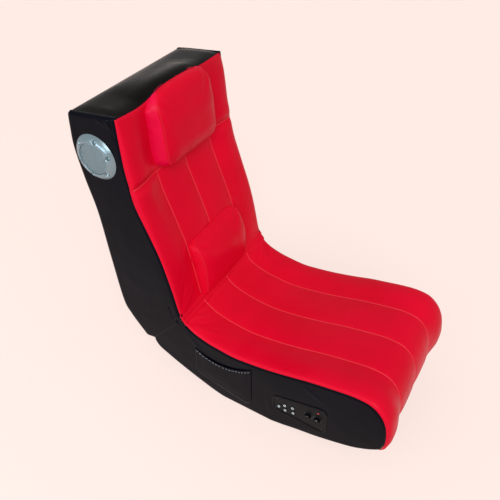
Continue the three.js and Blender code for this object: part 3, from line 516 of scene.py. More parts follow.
class Finish:
    """A node material under construction"""

    def __init__(self, name, **constants):
        self.material = bpy.data.materials.new(name)
        self.material.use_nodes = True
        self.tree = self.material.node_tree
        self.shader = self.tree.nodes["Principled BSDF"]
        for socket, value in constants.items():
            self.shader.inputs[socket.replace("_", " ")].default_value = value
        self.place = self.add("ShaderNodeTexCoord").outputs["Object"]
        self.height = None

    def add(self, kind, links=None, **values):
        node = self.tree.nodes.new(kind)
        for key, value in values.items():
            setattr(node, key, value)
        for socket, source in (links or {}).items():
            if isinstance(source, bpy.types.NodeSocket):
                self.tree.links.new(source, node.inputs[socket])
            else:
                node.inputs[socket].default_value = source
        return node

    def noise(self, scale, detail=3.0, stretch=None):
        place = self.place
        if stretch:
            mapping = self.add("ShaderNodeMapping", {"Vector": place, "Scale": stretch})
            place = mapping.outputs["Vector"]
        links = {"Vector": place, "Scale": scale, "Detail": detail}
        return self.add("ShaderNodeTexNoise", links).outputs["Fac"]

    def cells(self, scale, feature="F1"):
        links = {"Vector": self.place, "Scale": scale}
        return self.add("ShaderNodeTexVoronoi", links, feature=feature).outputs["Distance"]

    def ramp(self, value, stops):
        node = self.add("ShaderNodeValToRGB", {"Fac": value})
        elements = node.color_ramp.elements
        while len(elements) < len(stops):
            elements.new(0.5)
        for element, (position, colour) in zip(elements, stops):
            element.position = position
            element.color = (*colour, 1)
        return node.outputs["Color"]

    def ranged(self, value, low, high, start=0.3, end=0.7):
        links = {"Value": value, "From Min": start, "From Max": end, "To Min": low, "To Max": high}
        return self.add("ShaderNodeMapRange", links).outputs["Result"]

    def mixed(self, share, first, second, blend="MIX"):
        node = self.add("ShaderNodeMix", data_type="RGBA", blend_type=blend)
        for index, source in ((0, share), (6, first), (7, second)):
            if isinstance(source, bpy.types.NodeSocket):
                self.tree.links.new(source, node.inputs[index])
            else:
                node.inputs[index].default_value = source if index == 0 else (*source, 1)
        return node.outputs[2]

    def colour(self, source):
        self.tree.links.new(source, self.shader.inputs["Base Color"])

    def roughness(self, source):
        self.tree.links.new(source, self.shader.inputs["Roughness"])

    def bump(self, source, distance, strength):
        links = {"Height": source, "Distance": distance, "Strength": strength}
        if self.height is not None:
            links["Normal"] = self.height
        self.height = self.add("ShaderNodeBump", links).outputs["Normal"]
        self.tree.links.new(self.height, self.shader.inputs["Normal"])

    def edges(self):
        """High on edges and low in hollows"""
        return self.add("ShaderNodeNewGeometry").outputs["Pointiness"]


def linear(red, green, blue):
    """A colour given as a screen shows it, 0 to 255"""
    shares = [value / 255 for value in (red, green, blue)]
    return tuple(s / 12.92 if s <= 0.04045 else ((s + 0.055) / 1.055) ** 2.4 for s in shares)


VINYL_GRAIN = 0.00005  # depths of the finishes' relief
TWIST_DEPTH = 0.00015
WOOD_DEPTH = 0.0003
PIT_DEPTH = 0.00006
TRACK_DEPTH = 0.0002
RIB_DEPTH = 0.0001


def vinyl(name, shades, roughness, specular, rippled):
    """Artificial leather: a fine pebbled grain, faint pulls and a soft uneven gloss"""
    finish = Finish(name, Specular_IOR_Level=specular)
    broad = finish.ramp(finish.noise(7, 4), [(0.35, shades[0]), (0.65, shades[1])])
    fine = finish.ranged(finish.cells(850), 0.93, 1.04, 0.1, 0.7)
    tone = finish.mixed(1.0, broad, finish.ramp(fine, [(0, (0.9,) * 3), (1, (1, 1, 1))]), "MULTIPLY")
    # Convex edges turn to the third, lighter shade. This is partly edge wear and partly a painted highlight where
    # rolled edges and seams catch the light.
    wear_and_highlight = finish.ranged(finish.edges(), 0, 1, 0.47, 0.58)
    finish.colour(finish.mixed(finish.ranged(wear_and_highlight, 0.0, 1.0, 0.2, 1.0), tone, shades[2]))
    finish.roughness(finish.ranged(finish.noise(32, 5), roughness - 0.05, roughness + 0.07))
    finish.bump(finish.cells(850, "SMOOTH_F1"), VINYL_GRAIN, 0.55)
    finish.bump(finish.noise(260, 4), VINYL_GRAIN * 0.8, 0.5)
    finish.bump(finish.noise(18, 3), rippled, 0.5)
    return finish.material


red_vinyl = vinyl(
    "red_vinyl", [linear(212, 2, 36), linear(221, 4, 41), linear(230, 22, 52)],
    0.36, 0.06, rippled=0.0003,
)
# A lighter, bluer and glossier copy of the red vinyl for the head pillow's gusset: painted light on the pillow's
# sides
gusset_vinyl = vinyl(
    "gusset_vinyl", [linear(214, 1, 52), linear(226, 3, 60), linear(236, 24, 70)],
    0.34, 0.12, rippled=0.0008,
)
black_vinyl = vinyl(
    "black_vinyl", [linear(4, 5, 12), linear(7, 8, 17), linear(13, 15, 26)],
    0.20, 0.05, rippled=0.0004,
)
top_vinyl = vinyl(
    "top_vinyl", [linear(12, 10, 8), linear(17, 14, 12), linear(24, 22, 20)],
    0.27, 0.045, rippled=0.0004,
)


def thread(name, shade):
    finish = Finish(name, Specular_IOR_Level=0.25)
    twist = finish.noise(900, 2, stretch=(1, 3, 3))
    finish.colour(finish.ramp(twist, [(0.3, tuple(0.7 * s for s in shade)), (0.7, shade)]))
    finish.roughness(finish.ranged(twist, 0.5, 0.8))
    finish.bump(twist, TWIST_DEPTH, 0.7)
    return finish.material


# Welts: a lighter, glossier copy of the red vinyl, giving a painted highlight along the sewn lines
welt_vinyl = vinyl(
    "welt_vinyl", [linear(228, 32, 52), linear(234, 42, 60), linear(240, 66, 78)],
    0.34, 0.12, rippled=0.0002,
)
red_thread = thread("red_thread", linear(226, 66, 72))
# Pale dashes on the pocket's hem: short threads whose pale colour paints the highlights on the hem's gathers
pocket_stitch = thread("pocket_stitch", linear(186, 190, 198))


def plywood():
    finish = Finish("plywood", Specular_IOR_Level=0.3)
    grain = finish.noise(60, 6, stretch=(1, 0.12, 1))
    shades = [(0.25, (0.34, 0.2, 0.1)), (0.5, (0.5, 0.32, 0.17)), (0.8, (0.62, 0.43, 0.25))]
    finish.colour(finish.ramp(grain, shades))
    finish.roughness(finish.ranged(grain, 0.85, 0.6))
    finish.bump(grain, WOOD_DEPTH, 0.6)
    return finish.material


def metal(name, shade, roughness, stretch, scale=700, metallic=1.0, relief=0.00004):
    """Brushed or painted metal with fine unevenness"""
    finish = Finish(name, Metallic=metallic)
    lines = finish.noise(scale, 3, stretch=stretch)
    dark = tuple(0.88 * value for value in shade)
    finish.colour(finish.ramp(lines, [(0.3, dark), (0.7, shade)]))
    cloud = finish.noise(40, 4)
    finish.roughness(finish.ranged(cloud, roughness - 0.06, roughness + 0.08))
    finish.bump(lines, relief, 0.5)
    return finish.material


def moulded(name, shade, roughness, specular=0.4):
    """Moulded plastic with a fine spark-eroded texture and wear on its edges"""
    finish = Finish(name, Specular_IOR_Level=specular)
    pits = finish.cells(1400)
    cloud = finish.noise(30, 4)
    light = tuple(1.6 * value + 0.004 for value in shade)
    body = finish.ramp(cloud, [(0.3, shade), (0.7, tuple(1.15 * value for value in shade))])
    finish.colour(finish.mixed(finish.ranged(finish.edges(), 0, 0.6, 0.5, 0.6), body, light))
    finish.roughness(finish.ranged(cloud, roughness - 0.05, roughness + 0.08))
    finish.bump(pits, PIT_DEPTH, 0.5)
    return finish.material


def circuit_board():
    finish = Finish("circuit_board", Specular_IOR_Level=0.5)
    tracks = finish.cells(160, "DISTANCE_TO_EDGE")
    finish.colour(finish.ramp(tracks, [(0.02, (0.1, 0.28, 0.09)), (0.08, (0.015, 0.09, 0.04))]))
    finish.roughness(finish.ranged(finish.noise(80), 0.3, 0.5))
    finish.bump(tracks, TRACK_DEPTH, 0.5)
    return finish.material


def lens():
    finish = Finish("light_lens", Roughness=0.12, Transmission_Weight=0.35, Emission_Strength=0.12)
    finish.shader.inputs["Emission Color"].default_value = (*linear(230, 60, 40), 1)
    ribs = finish.noise(900, 2)
    finish.colour(finish.ramp(ribs, [(0.3, linear(170, 42, 30)), (0.7, linear(222, 84, 62))]))
    finish.bump(ribs, RIB_DEPTH, 0.5)
    return finish.material


plywood_finish = plywood()
hinge_steel = metal("hinge_steel", (0.42, 0.43, 0.44), 0.34, (1, 12, 1))
screw_steel = metal("screw_steel", linear(186, 204, 214), 0.2, (8, 1, 1))
dark_steel = metal("dark_steel", linear(46, 50, 56), 0.34, (8, 1, 1), metallic=0.6)
socket_metal = metal("socket_metal", linear(214, 226, 230), 0.24, (1, 8, 8), metallic=0.75)
silver_paint = metal("silver_paint", linear(136, 156, 164), 0.27, (1, 1, 1), 1600, 0.6, 0.000008)
grille_paint = metal("grille_paint", linear(138, 160, 168), 0.42, (1, 1, 1), 1600, 0.35)
black_plastic = moulded("black_plastic", linear(9, 9, 12), 0.3, 0.07)
driver_plastic = moulded("driver_plastic", linear(26, 26, 28), 0.5)
print_grey = moulded("print_grey", linear(122, 124, 130), 0.5)
white_print = moulded("white_print", linear(226, 228, 232), 0.45)
board_finish = circuit_board()
light_lens = lens()

NODE_FINISHES = {
    "plywood": plywood_finish,
    "hinge_steel": hinge_steel,
    "driver_plastic": driver_plastic,
    "panel_plastic": black_plastic,
    "circuit_board": board_finish,
    "socket_metal": socket_metal,
    "knob_plastic": black_plastic,
    "light_lens": light_lens,
    "silver_paint": silver_paint,
    "screw_steel": screw_steel,
    "red_vinyl": red_vinyl,
    "black_vinyl": black_vinyl,
}


def dress_nodes():
    """Gives every node of the frame its finish"""
    for entry in frame["record"]["subparts"]:
        data = frame["nodes"][entry["node"]].data
        data.materials.clear()
        data.materials.append(NODE_FINISHES[entry["material_slot"]])


# Red cushions

def near_lines(values, lines):
    """Distance to the nearest line"""
    return np.abs(values[..., None] - np.array(lines)).min(-1)


def channels(values, lines, rise):
    """Height over sewn channels: down at each line and full between"""
    span = np.clip(np.searchsorted(lines, values, side="right") - 1, 0, len(lines) - 2)
    lines = np.array(lines)
    share = (values - lines[span]) / (lines[span + 1] - lines[span]) * 2 - 1
    return rise * (1 - np.abs(share) ** 2.6)


def calmed(move, held, passes):
    """Movements averaged with their neighbours, while the held points stay"""
    for _ in range(passes):
        around = (move[:-2, 1:-1] + move[2:, 1:-1] + move[1:-1, :-2] + move[1:-1, 2:]) / 4
        move[1:-1, 1:-1] = (move[1:-1, 1:-1] + around) / 2
        move[held] = 0
    return move


def creased(along, across, creases):
    """Height of the small folds in a cover. Each runs from one place to another, places being
    given along and across, with a width and a height."""
    spots = np.stack([along, across], axis=-1)
    height = np.zeros(along.shape)
    for start, end, width, rise in creases:
        start, step = np.array(start), np.array(end) - np.array(start)
        share = np.clip(((spots - start) * step).sum(-1) / (step**2).sum(), 0, 1)
        away = np.linalg.norm(spots - start - share[..., None] * step, axis=-1)
        height += rise * np.exp(-((away / width) ** 2)) * (1 - (2 * share - 1) ** 2 * 0.6)
    return height


class Cushion:
    """A long foam cushion under a sewn cover that runs over the chair's whole width"""

    def __init__(self, name, route, start, end, creases, bulge, cross=None, thin_start=False):
        self.name, self.route, self.creases, self.cross = name, route, creases, cross
        self.start, self.end, self.thin_start = start, end, thin_start
        self.bulge = np.array(bulge)
        self.across_lines = [-CUSHION_HALF, -SEAM_OFFSET, 0.0, SEAM_OFFSET, CUSHION_HALF]
        self.along_lines = [start, end] if cross is None else [start, cross, end]

    def fullness(self, along):
        marks = self.start + self.bulge[:, 0] * (self.end - self.start)
        return spline_at(self.bulge[:, 1], marks, np.ravel(along)).reshape(np.shape(along))

    def height(self, along, across, rise):
        """Height over the route before the seams' fine shape"""
        inner = np.clip(across, -SEAM_OFFSET, SEAM_OFFSET)
        sewn = channels(inner, [-SEAM_OFFSET, 0.0, SEAM_OFFSET], rise)
        side = self.fullness(along) * ease((np.abs(across) - SEAM_OFFSET) / BULGE_REACH)
        height = sewn + side * dome(CUSHION_HALF - np.abs(across), EDGE_ROUND)
        if self.cross is not None:
            dip = np.exp(-((along - self.cross) / DIP_WIDTH) ** 2)
            height = np.where(along < self.cross, height - sewn + rise, height)
            drop = SEAM_DROP * ease((CUSHION_HALF - np.abs(across)) / DROP_REACH)
            height = height * (1 - DIP_SHARE * dip) - drop * dip
        to_end = np.minimum(along - self.start, self.end - along)
        ends = np.clip(1 - to_end / END_REACH, 0, 1)
        return height - END_DROP * ends**2

    def grid(self, rows, columns, height):
        along, across = np.meshgrid(rows, columns, indexing="ij")
        spots = self.route.raised(along, height)
        if self.cross is not None:
            spots = spots + seam_shift(across) * (1 - ease(rows / SHIFT_REACH))[:, None, None]
        full = self.fullness(rows)[:, None] * (height > -THIN_DEPTH / 2)
        beyond = ease((np.abs(across) - SPREAD_START) / SPREAD_REACH)
        over = SIDE_SPREAD[self.name] * full * beyond
        return place(spots, across + np.sign(across) * over)

    def under(self, rows, columns):
        to_thin = rows - self.start if self.thin_start else self.end - rows
        thin = ease(to_thin / THIN_REACH)
        inside = ease((FOAM_HALF - np.abs(columns)) / FOAM_SLOPE)
        inner = EDGE_DEPTH + (CUSHION_DEPTH - EDGE_DEPTH) * inside
        depth = THIN_DEPTH + (inner[None, :] - THIN_DEPTH) * thin[:, None]
        return self.grid(rows, columns, -depth)

    def swelling(self, rows, columns):
        """How far each point of a coarse cover moves as it swells"""
        flat = self.height(*np.meshgrid(rows, columns, indexing="ij"), CHANNEL_RISE)
        cover, walls, bottom = make_pad(
            self.name + "_trial", self.grid(rows, columns, flat), self.under(rows, columns),
            red_vinyl,
        )
        sewn = near_lines(columns, self.across_lines)[None, :] < 1e-6
        if self.cross is not None:
            sewn = (sewn & (rows >= self.cross)[:, None]) | (rows == self.cross)[:, None]
        sewn = sewn | np.zeros((len(rows), len(columns)), bool)
        sewn[[0, -1]] = True
        sewn[:, [0, -1]] = True
        held = set(walls) | set(bottom) | set(np.flatnonzero(sewn))
        move = swell(cover, sorted(held), slack=CUSHION_SLACK, cap=CHANNEL_CAP)[: sewn.size]
        bpy.data.objects.remove(cover)
        return calmed(move.reshape(*sewn.shape, 3), sewn, CUSHION_CALM)

    def build(self, body, node):
        coarse_rows = marks_with(self.along_lines, COARSE)
        coarse_columns = marks_with(self.across_lines, COARSE)
        move = self.swelling(coarse_rows, coarse_columns)
        rows = marks_with(self.along_lines, FINE, SEAM_MARKS)
        columns = marks_with(self.across_lines, FINE, SEAM_MARKS)
        move = on_grid(move, coarse_rows, coarse_columns, rows, columns)
        along, across = np.meshgrid(rows, columns, indexing="ij")
        rise = CHANNEL_RISE + 0
        height = self.height(along, across, rise)
        apart = near_lines(across, self.across_lines[1:-1])
        if self.cross is not None:
            apart = np.where(along < self.cross, 1.0, apart)
            apart = np.minimum(apart, np.abs(along - self.cross))
        height -= SEAM_VALLEY * np.exp(-((apart / SEAM_VALLEY_WIDTH) ** 2))
        height += creased(along, across, self.creases)
        top = self.grid(rows, columns, height) + move
        quilting = ease(apart / QUILT_REACH) * QUILT_HEIGHT
        top += turned_move(self.route.outward(along) * (rough(top, 14) * quilting)[..., None])
        self.rows, self.columns, self.top = rows, columns, top
        piece, _, _ = make_pad(self.name, top, self.under(rows, columns), red_vinyl, 4)
        finish_piece(piece, body, [node])
        self.add_seams(body)

    def add_seams(self, body):
        """A thin raised line along every sewn line, in a lighter red that paints a highlight on it"""
        lift = turned_move(self.route.outward(self.rows) * SEAM_LIFT)
        first = 0 if self.cross is None else int(np.argmin(abs(self.rows - self.cross)))
        lines = []
        for across in self.across_lines[1:-1]:
            column = int(np.argmin(abs(self.columns - across)))
            lines.append(self.top[first:-2, column] + lift[first:-2])
        if self.cross is not None:
            lines.append(self.top[first, 1:-1] + lift[first])
        parts = [along_tube(line[::2], WELT_RADIUS) for line in lines]
        welts = joined(self.name + "_welts", parts, welt_vinyl)
        finish_piece(welts, body)


SEARCHED = 0.1  # along a route from the crease


def clear_of_hinge(route, first, last):
    """Where a route leaves the room around the hinge"""
    marks = np.linspace(first, last, 400)
    away = np.linalg.norm(route.spot(marks) - PIN, axis=1)
    return float(marks[np.argmax(away > CREASE_CLEAR)])


seat_start = clear_of_hinge(seat_top, 0, SEARCHED)
back_end = clear_of_hinge(back_front, back_front.length, back_front.length - SEARCHED)
NOSE_WRAP = 0.036  # the red cover runs this far on under the nose
over_nose = Route(np.concatenate([
    seat_top.spots, seat_bottom.spots[(seat_bottom.spots[:, 0] > 0.9 * SEAT_REACH)],
]))
cross_mark = back_front.mark_at(CROSS_SEAM_RISE)

# Folds beside the crease: from and to, along the cushion and across it, then width and height
SEAT_CREASES = [
    ((0.012, 0.190), (0.045, 0.128), 0.0045, 0.0018),
    ((0.024, 0.192), (0.075, 0.140), 0.0050, -0.0014),
    ((0.016, 0.150), (0.030, 0.112), 0.0035, 0.0015),
    ((0.040, 0.186), (0.110, 0.168), 0.0060, 0.0014),
    ((0.014, -0.190), (0.050, -0.135), 0.0050, 0.0016),
    ((0.030, -0.186), (0.080, -0.150), 0.0060, -0.0012),
]

# How far the cushions' sides stand out, by shares along them
SEAT_BULGE = [
    (0, 0.0010), (0.06, 0.0045), (0.2, 0.0065), (0.5, 0.0065), (0.7, 0.0075), (0.86, 0.0100),
    (0.95, 0.0090), (1, 0.0040),
]
BACK_BULGE = [
    (0, 0.0010), (0.06, 0.0060), (0.14, 0.0100), (0.28, 0.0130), (0.36, 0.0150), (0.45, 0.0110),
    (0.6, 0.0060), (0.85, 0.0050), (0.96, 0.0030), (1, 0.0010),
]


def back_mark(rise):
    return back_front.mark_at(rise)


BACK_CREASES = [
    ((back_mark(0.018), 0.190), (back_mark(0.055), 0.135), 0.0045, 0.0017),
    ((back_mark(0.034), 0.192), (back_mark(0.090), 0.160), 0.0060, -0.0014),
    ((back_mark(0.012), 0.165), (back_mark(0.020), 0.120), 0.0035, 0.0014),
    ((back_mark(0.185), 0.104), (back_mark(0.150), 0.128), 0.0060, 0.0020),
    ((back_mark(0.185), -0.104), (back_mark(0.150), -0.128), 0.0060, 0.0020),
    ((back_mark(0.020), -0.190), (back_mark(0.060), -0.140), 0.0050, 0.0015),
    ((back_mark(0.376), 0.104), (back_mark(0.352), 0.118), 0.0050, 0.0014),
]


def add_cushions():
    end = seat_top.length + NOSE_WRAP
    seat = Cushion(
        "seat_pad", over_nose, seat_start, end, SEAT_CREASES, SEAT_BULGE, thin_start=True,
    )
    seat.build("seat", "seat_cushion")
    back = Cushion(
        "back_pad", back_front, 0.0, back_end, BACK_CREASES, BACK_BULGE, cross=cross_mark,
    )
    back.build("back", "back_cushion")


# Black covers

def rolled(distance, depth, width):
    """How far a side cover's face lies inside its flat plane, at a distance from its edge"""
    share = 1 - np.clip(distance / depth, 0, 1)
    return width * (1 - np.sqrt(np.clip(1 - share**2, 0, 1)))


def patch(lower, upper, left, right, along_shares, up_shares):
    """A grid of spots stretched between four edges, given as routes. Lower and upper run from
    left to right, left and right run upwards."""
    a = along_shares[None, :, None]
    b = up_shares[:, None, None]
    low = lower.spot(along_shares * lower.length)[None]
    high = upper.spot(along_shares * upper.length)[None]
    rear = left.spot(up_shares * left.length)[:, None]
    front = right.spot(up_shares * right.length)[:, None]
    corners = (
        (1 - a) * (1 - b) * lower.spots[0] + a * (1 - b) * lower.spots[-1]
        + (1 - a) * b * upper.spots[0] + a * b * upper.spots[-1]
    )
    return (1 - b) * low + b * high + (1 - a) * rear + a * front - corners


EDGE_RINGS = np.array([0.0004, 0.001, 0.002, 0.0035, 0.0055, 0.008, 0.011, 0.0145])


def crowded(length):
    """Shares of a length, closer at both ends"""
    inset = EDGE_RINGS[-1] + FINE
    inner = spread_between(inset, length - inset, FINE)
    marks = np.concatenate([[0], EDGE_RINGS, inner, length - EDGE_RINGS[::-1], [length]])
    return marks / length


def round_pin(start_angle, end_angle):
    """Spots on the edge of the room around the hinge"""
    angles = np.linspace(start_angle, end_angle, 10)
    return PIN + CREASE_CLEAR * np.stack([np.cos(angles), np.sin(angles)], axis=-1)


def angle_at_pin(spot):
    away = np.array(spot) - PIN
    return math.atan2(away[1], away[0])


SPLIT_ANGLE = angle_at_pin(NOTCH)
split_start = PIN + CREASE_CLEAR * ray(SPLIT_ANGLE)
NOSE_TOP = seat_top.length * 0.86
NOSE_BOTTOM = seat_bottom.length * 0.08
BACK_TOP_EDGE = Route([BACK_TOP_REAR, BACK_TOP_FRONT])


def seat_edges():
    """The four edges of the seat's side: underneath, on top, beside the back, round the nose"""
    under = Route(np.concatenate([[NOTCH], seat_bottom.part(seat_bottom.length, NOSE_BOTTOM)]))
    over = Route(seat_top.part(seat_start, NOSE_TOP))
    arc = round_pin(SPLIT_ANGLE, angle_at_pin(seat_top.spot(seat_start)))
    beside = Route(np.concatenate([np.linspace(NOTCH, split_start, 20), arc[1:]]))
    nose = Route(np.concatenate([
        seat_bottom.part(NOSE_BOTTOM, 0)[:-1], seat_top.part(seat_top.length, NOSE_TOP),
    ]))
    return under, over, beside, nose


def back_edges():
    """The same for the back: behind, in front, below, above. Its grid lies on its side."""
    behind = Route(np.concatenate([[NOTCH], back_rear.spots, [BACK_TOP_REAR]]))
    front = Route(back_front.part(back_end, 0))
    arc = round_pin(SPLIT_ANGLE + 2 * math.pi, angle_at_pin(back_front.spot(back_end)))
    below = Route(np.concatenate([np.linspace(NOTCH, split_start, 20), arc[1:]]))
    return behind, front, below, BACK_TOP_EDGE


def add_side_cover(name, edges, side, body, node, creases, opening):
    """A padded side cover with rolled edges. Opening tells which places are cut out of it."""
    lower, upper, left, right = edges
    along = crowded(max(lower.length, upper.length))
    up = crowded(max(left.length, right.length))
    spots = patch(lower, upper, left, right, along, up)
    inside = np.maximum.reduce([
        rolled(lower.distance(spots), ROLL_DEPTH, ROLL_WIDTH),
        rolled(upper.distance(spots), ROLL_DEPTH, ROLL_WIDTH),
        rolled(right.distance(spots), ROLL_DEPTH, ROLL_WIDTH),
        rolled(left.distance(spots), FLAT_ROLL, FLAT_ROLL),
    ])
    rim = np.minimum.reduce([edge.distance(spots) for edge in edges])
    own_waves = [(scale, side * seed, height) for scale, seed, height in SIDE_WAVES]
    waves = waving(place(spots, side * HALF_WIDTH), own_waves) * ease(rim / WAVE_FADE)
    height = HALF_WIDTH - inside + waves - SIDE_SINK
    height += creased(spots[..., 0], spots[..., 1], creases)
    grid = place(spots, side * height)
    rows, columns = grid.shape[:2]
    faces = grid_faces(rows, columns, flipped=side < 0)
    if opening:
        flat = spots.reshape(-1, 2)
        faces = [face for face in faces if not opening(flat[list(face)].mean(axis=0))]
    piece = make_piece(name, grid.reshape(-1, 3), faces, black_vinyl)
    add_backing(piece, SIDE_THICKNESS)
    finish_piece(piece, body, [node])


def middle_of(node):
    """The side-view middle of a node of the part"""
    low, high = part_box(node)
    return np.array([CREASE_Y - (low.y + high.y) / 2, (low.z + high.z) / 2 - CREASE_HEIGHT])


DRIVER_HOLE = 0.0400  # radius


def add_sides():
    panel_folds = [
        ((0.352, -0.036), (0.398, -0.060), 0.0035, 0.0011),
        ((0.040, -0.214), (0.078, -0.205), 0.0030, 0.0009),
        ((0.255, -0.150), (0.262, -0.205), 0.0050, 0.0008),
        ((0.010, -0.040), (0.060, -0.100), 0.0080, 0.0007),
    ]
    top_folds = [
        ((-0.150, 0.536), (-0.126, 0.505), 0.0045, 0.0012),
        ((-0.134, 0.538), (-0.128, 0.490), 0.0030, -0.0010),
        ((-0.175, 0.530), (-0.145, 0.518), 0.0040, 0.0010),
    ]
    for side_name, side in (("right", 1), ("left", -1)):
        speaker = middle_of("speaker_grille_" + side_name)

        def driver(spot):
            return np.linalg.norm(spot - speaker) < DRIVER_HOLE

        add_side_cover(
            "back_side_pad_" + side_name, back_edges(), side, "back",
            "back_side_cover_" + side_name, top_folds, driver,
        )
        seat_opening = in_panel if side > 0 else None
        add_side_cover(
            "seat_side_pad_" + side_name, seat_edges(), side, "seat",
            "seat_side_cover_" + side_name, panel_folds if side > 0 else (), seat_opening,
        )
        add_crease_patch(side_name, side)


# Crumpled covers at the hinge

def outline_reach(angle, limit):
    """How far the chair's side reaches from the hinge pin in one direction, up to a limit"""
    ahead = ray(angle)
    reach = limit
    for route in (seat_top, back_front):
        for start, step in zip(route.spots, route.steps):
            turn = ahead[0] * step[1] - ahead[1] * step[0]
            if abs(turn) < 1e-12:
                continue
            offset = start - PIN
            away = (offset[0] * step[1] - offset[1] * step[0]) / turn
            share = (offset[0] * ahead[1] - offset[1] * ahead[0]) / turn
            if 0 <= share <= 1 and 0 < away < reach:
                reach = away
    return reach


BLEND_REACH = 0.012  # each side of the split line
PATCH_LAP = 0.002  # beyond the room kept free
PATCH_MIDDLE = 0.0015
PATCH_SINK = 0.0012
PATCH_ROLL_DEPTH = 0.006
PATCH_ROLL_WIDTH = 0.005
across_split = np.array([-math.sin(SPLIT_ANGLE), math.cos(SPLIT_ANGLE)])
BLEND_ENDS = [
    tuple(place(PIN + side * BLEND_REACH * across_split, 0.0)) for side in (-1, 1)
]


def blend_over_hinge(piece):
    """Bakes a piece's placement into its points; the hinge's two blend ends are ordered but not used"""
    seat_side, back_side = BLEND_ENDS
    if seat_side[1] > back_side[1]:
        seat_side, back_side = back_side, seat_side
    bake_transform(piece)


def add_crease_patch(side_name, side):
    """The round end of the side covers over the hinge"""
    angles = np.linspace(0, 2 * math.pi, 73)[:-1]
    reaches = np.array([outline_reach(angle, CREASE_CLEAR + PATCH_LAP) for angle in angles])
    shares = np.linspace(0, 1, 9)
    points, faces = [place(PIN, side * (HALF_WIDTH - PATCH_MIDDLE))], []
    for share in shares[1:]:
        for angle, reach in zip(angles, reaches):
            spot = PIN + reach * share * ray(angle)
            open_edge = reach < CREASE_CLEAR
            gap = reach * (1 - share) if open_edge else 1.0
            inside = rolled(gap, PATCH_ROLL_DEPTH, PATCH_ROLL_WIDTH) + PATCH_SINK
            points.append(place(spot, side * (HALF_WIDTH - inside)))
    count = len(angles)
    for index in range(count):
        after = (index + 1) % count
        faces.append((0, 1 + index, 1 + after))
        for ring in range(len(shares) - 2):
            low, high = 1 + ring * count, 1 + (ring + 1) * count
            faces.append((low + index, high + index, high + after, low + after))
    if side < 0:
        faces = [face[::-1] for face in faces]
    piece = make_piece("crease_fold_" + side_name, points, faces, black_vinyl)
    add_backing(piece, SKIN_THICKNESS)
    blend_over_hinge(piece)


CREASE_FOLD = 0.0045  # depth of the tight line
CREASE_PUFF = 0.0012
CREASE_LINE_SHARE = 0.06
STRIP_LAP = 0.006  # over the ends of both cushions
STRIP_LIFT = 0.0002
STRIP_INSET = 0.001
STRIP_DEPTH = 0.0030
STRIP_WELT_LIFT = 0.0006
STRIP_ROWS = 33
CRUMPLE_SCALE = 45
CRUMPLE_HEIGHT = 0.0011
CRUMPLE_SHIFT = 20  # shares of the strip per metre of crumple


def add_crease_strip():
    """The red cover between the back and the seat, pulled into a tight line"""
    back_lift = back_front.outward(back_end) * STRIP_LIFT
    seat_lift = seat_top.outward(seat_start) * STRIP_LIFT
    lower = place(back_front.spot(back_end - STRIP_LAP) + back_lift, 0.0)
    upper = place(seat_top.spot(seat_start + STRIP_LAP) + seat_lift, 0.0)
    inward = place(CREASE, 0.0) - (lower + upper) / 2
    inward /= np.linalg.norm(inward)
    share = np.linspace(0, 1, STRIP_ROWS)[:, None, None]
    half = HALF_WIDTH - STRIP_INSET
    columns = spread_between(-half, half, MEDIUM)
    crumple = rough(place(np.zeros((len(columns), 2)), columns), CRUMPLE_SCALE) * CRUMPLE_HEIGHT
    away = np.abs(share - 0.5 - crumple[None, :, None] * CRUMPLE_SHIFT)
    puff = CREASE_PUFF * np.sin(2 * math.pi * away.clip(0, 0.5))
    sink = CREASE_FOLD * np.exp(-(away / CREASE_LINE_SHARE)) - puff
    start = lower + (columns[:, None] * [-1, 0, 0])
    end = upper + (columns[:, None] * [-1, 0, 0])
    top = start[None] * (1 - share) + end[None] * share + inward * sink
    bottom = top + inward * STRIP_DEPTH
    piece, _, _ = make_pad("crease_strip", top, bottom, red_vinyl)
    blend_over_hinge(piece)
    # The welts take the lighter welt vinyl, a painted highlight on the sewn lines
    parts = []
    for across in (-SEAM_OFFSET, 0.0, SEAM_OFFSET):
        column = int(np.argmin(abs(columns - across)))
        line = top[STRIP_ROWS // 2 + 2:, column] - inward * STRIP_WELT_LIFT
        parts.append(along_tube(line, WELT_RADIUS))
    blend_over_hinge(joined("crease_welts", parts, welt_vinyl))


# Covers underneath, behind and on top

# Seam between the red cushion and the top cover: distance towards the sitter's right, then how
# far forwards and up it lies from the back's upper front edge
TOP_SEAM = [
    (-0.205, -0.003, -0.002), (-0.17, 0.001, 0.001), (-0.13, 0.004, 0.003), (-0.103, 0.005, 0.004),
    (-0.06, 0.006, 0.011), (0.0, 0.006, 0.014), (0.045, 0.006, 0.013), (0.085, 0.006, 0.006),
    (0.108, 0.003, -0.002), (0.14, 0.003, -0.004), (0.17, 0.002, -0.003), (0.205, 0.0, -0.001),
]


def seam_shift(across):
    """Where the top seam runs, forwards and up from the back's upper front edge"""
    table = np.array(TOP_SEAM)
    flat = np.ravel(across)
    shift = spline_at(table[:, 1:], table[:, 0], np.clip(flat, -0.205, 0.205))
    return shift.reshape(*np.shape(across), 2)


def add_sheet_cover(name, grid, body, nodes, finish=None):
    """A cover of artificial leather, cut to the face's width and length and pulled over it"""
    rows, columns = grid.shape[:2]
    piece = make_piece(name, grid.reshape(-1, 3), grid_faces(rows, columns), finish or black_vinyl)
    add_backing(piece, SKIN_THICKNESS)
    finish_piece(piece, body, nodes)


COVER_SINK = 0.0012  # inside the chair's outline


def cover_columns(spacing):
    rings = np.array(COVER_RINGS)
    inner = spread_between(-COVER_MIDDLE, COVER_MIDDLE, spacing)
    return np.concatenate([-CUSHION_HALF + rings, inner, CUSHION_HALF - rings[::-1]])


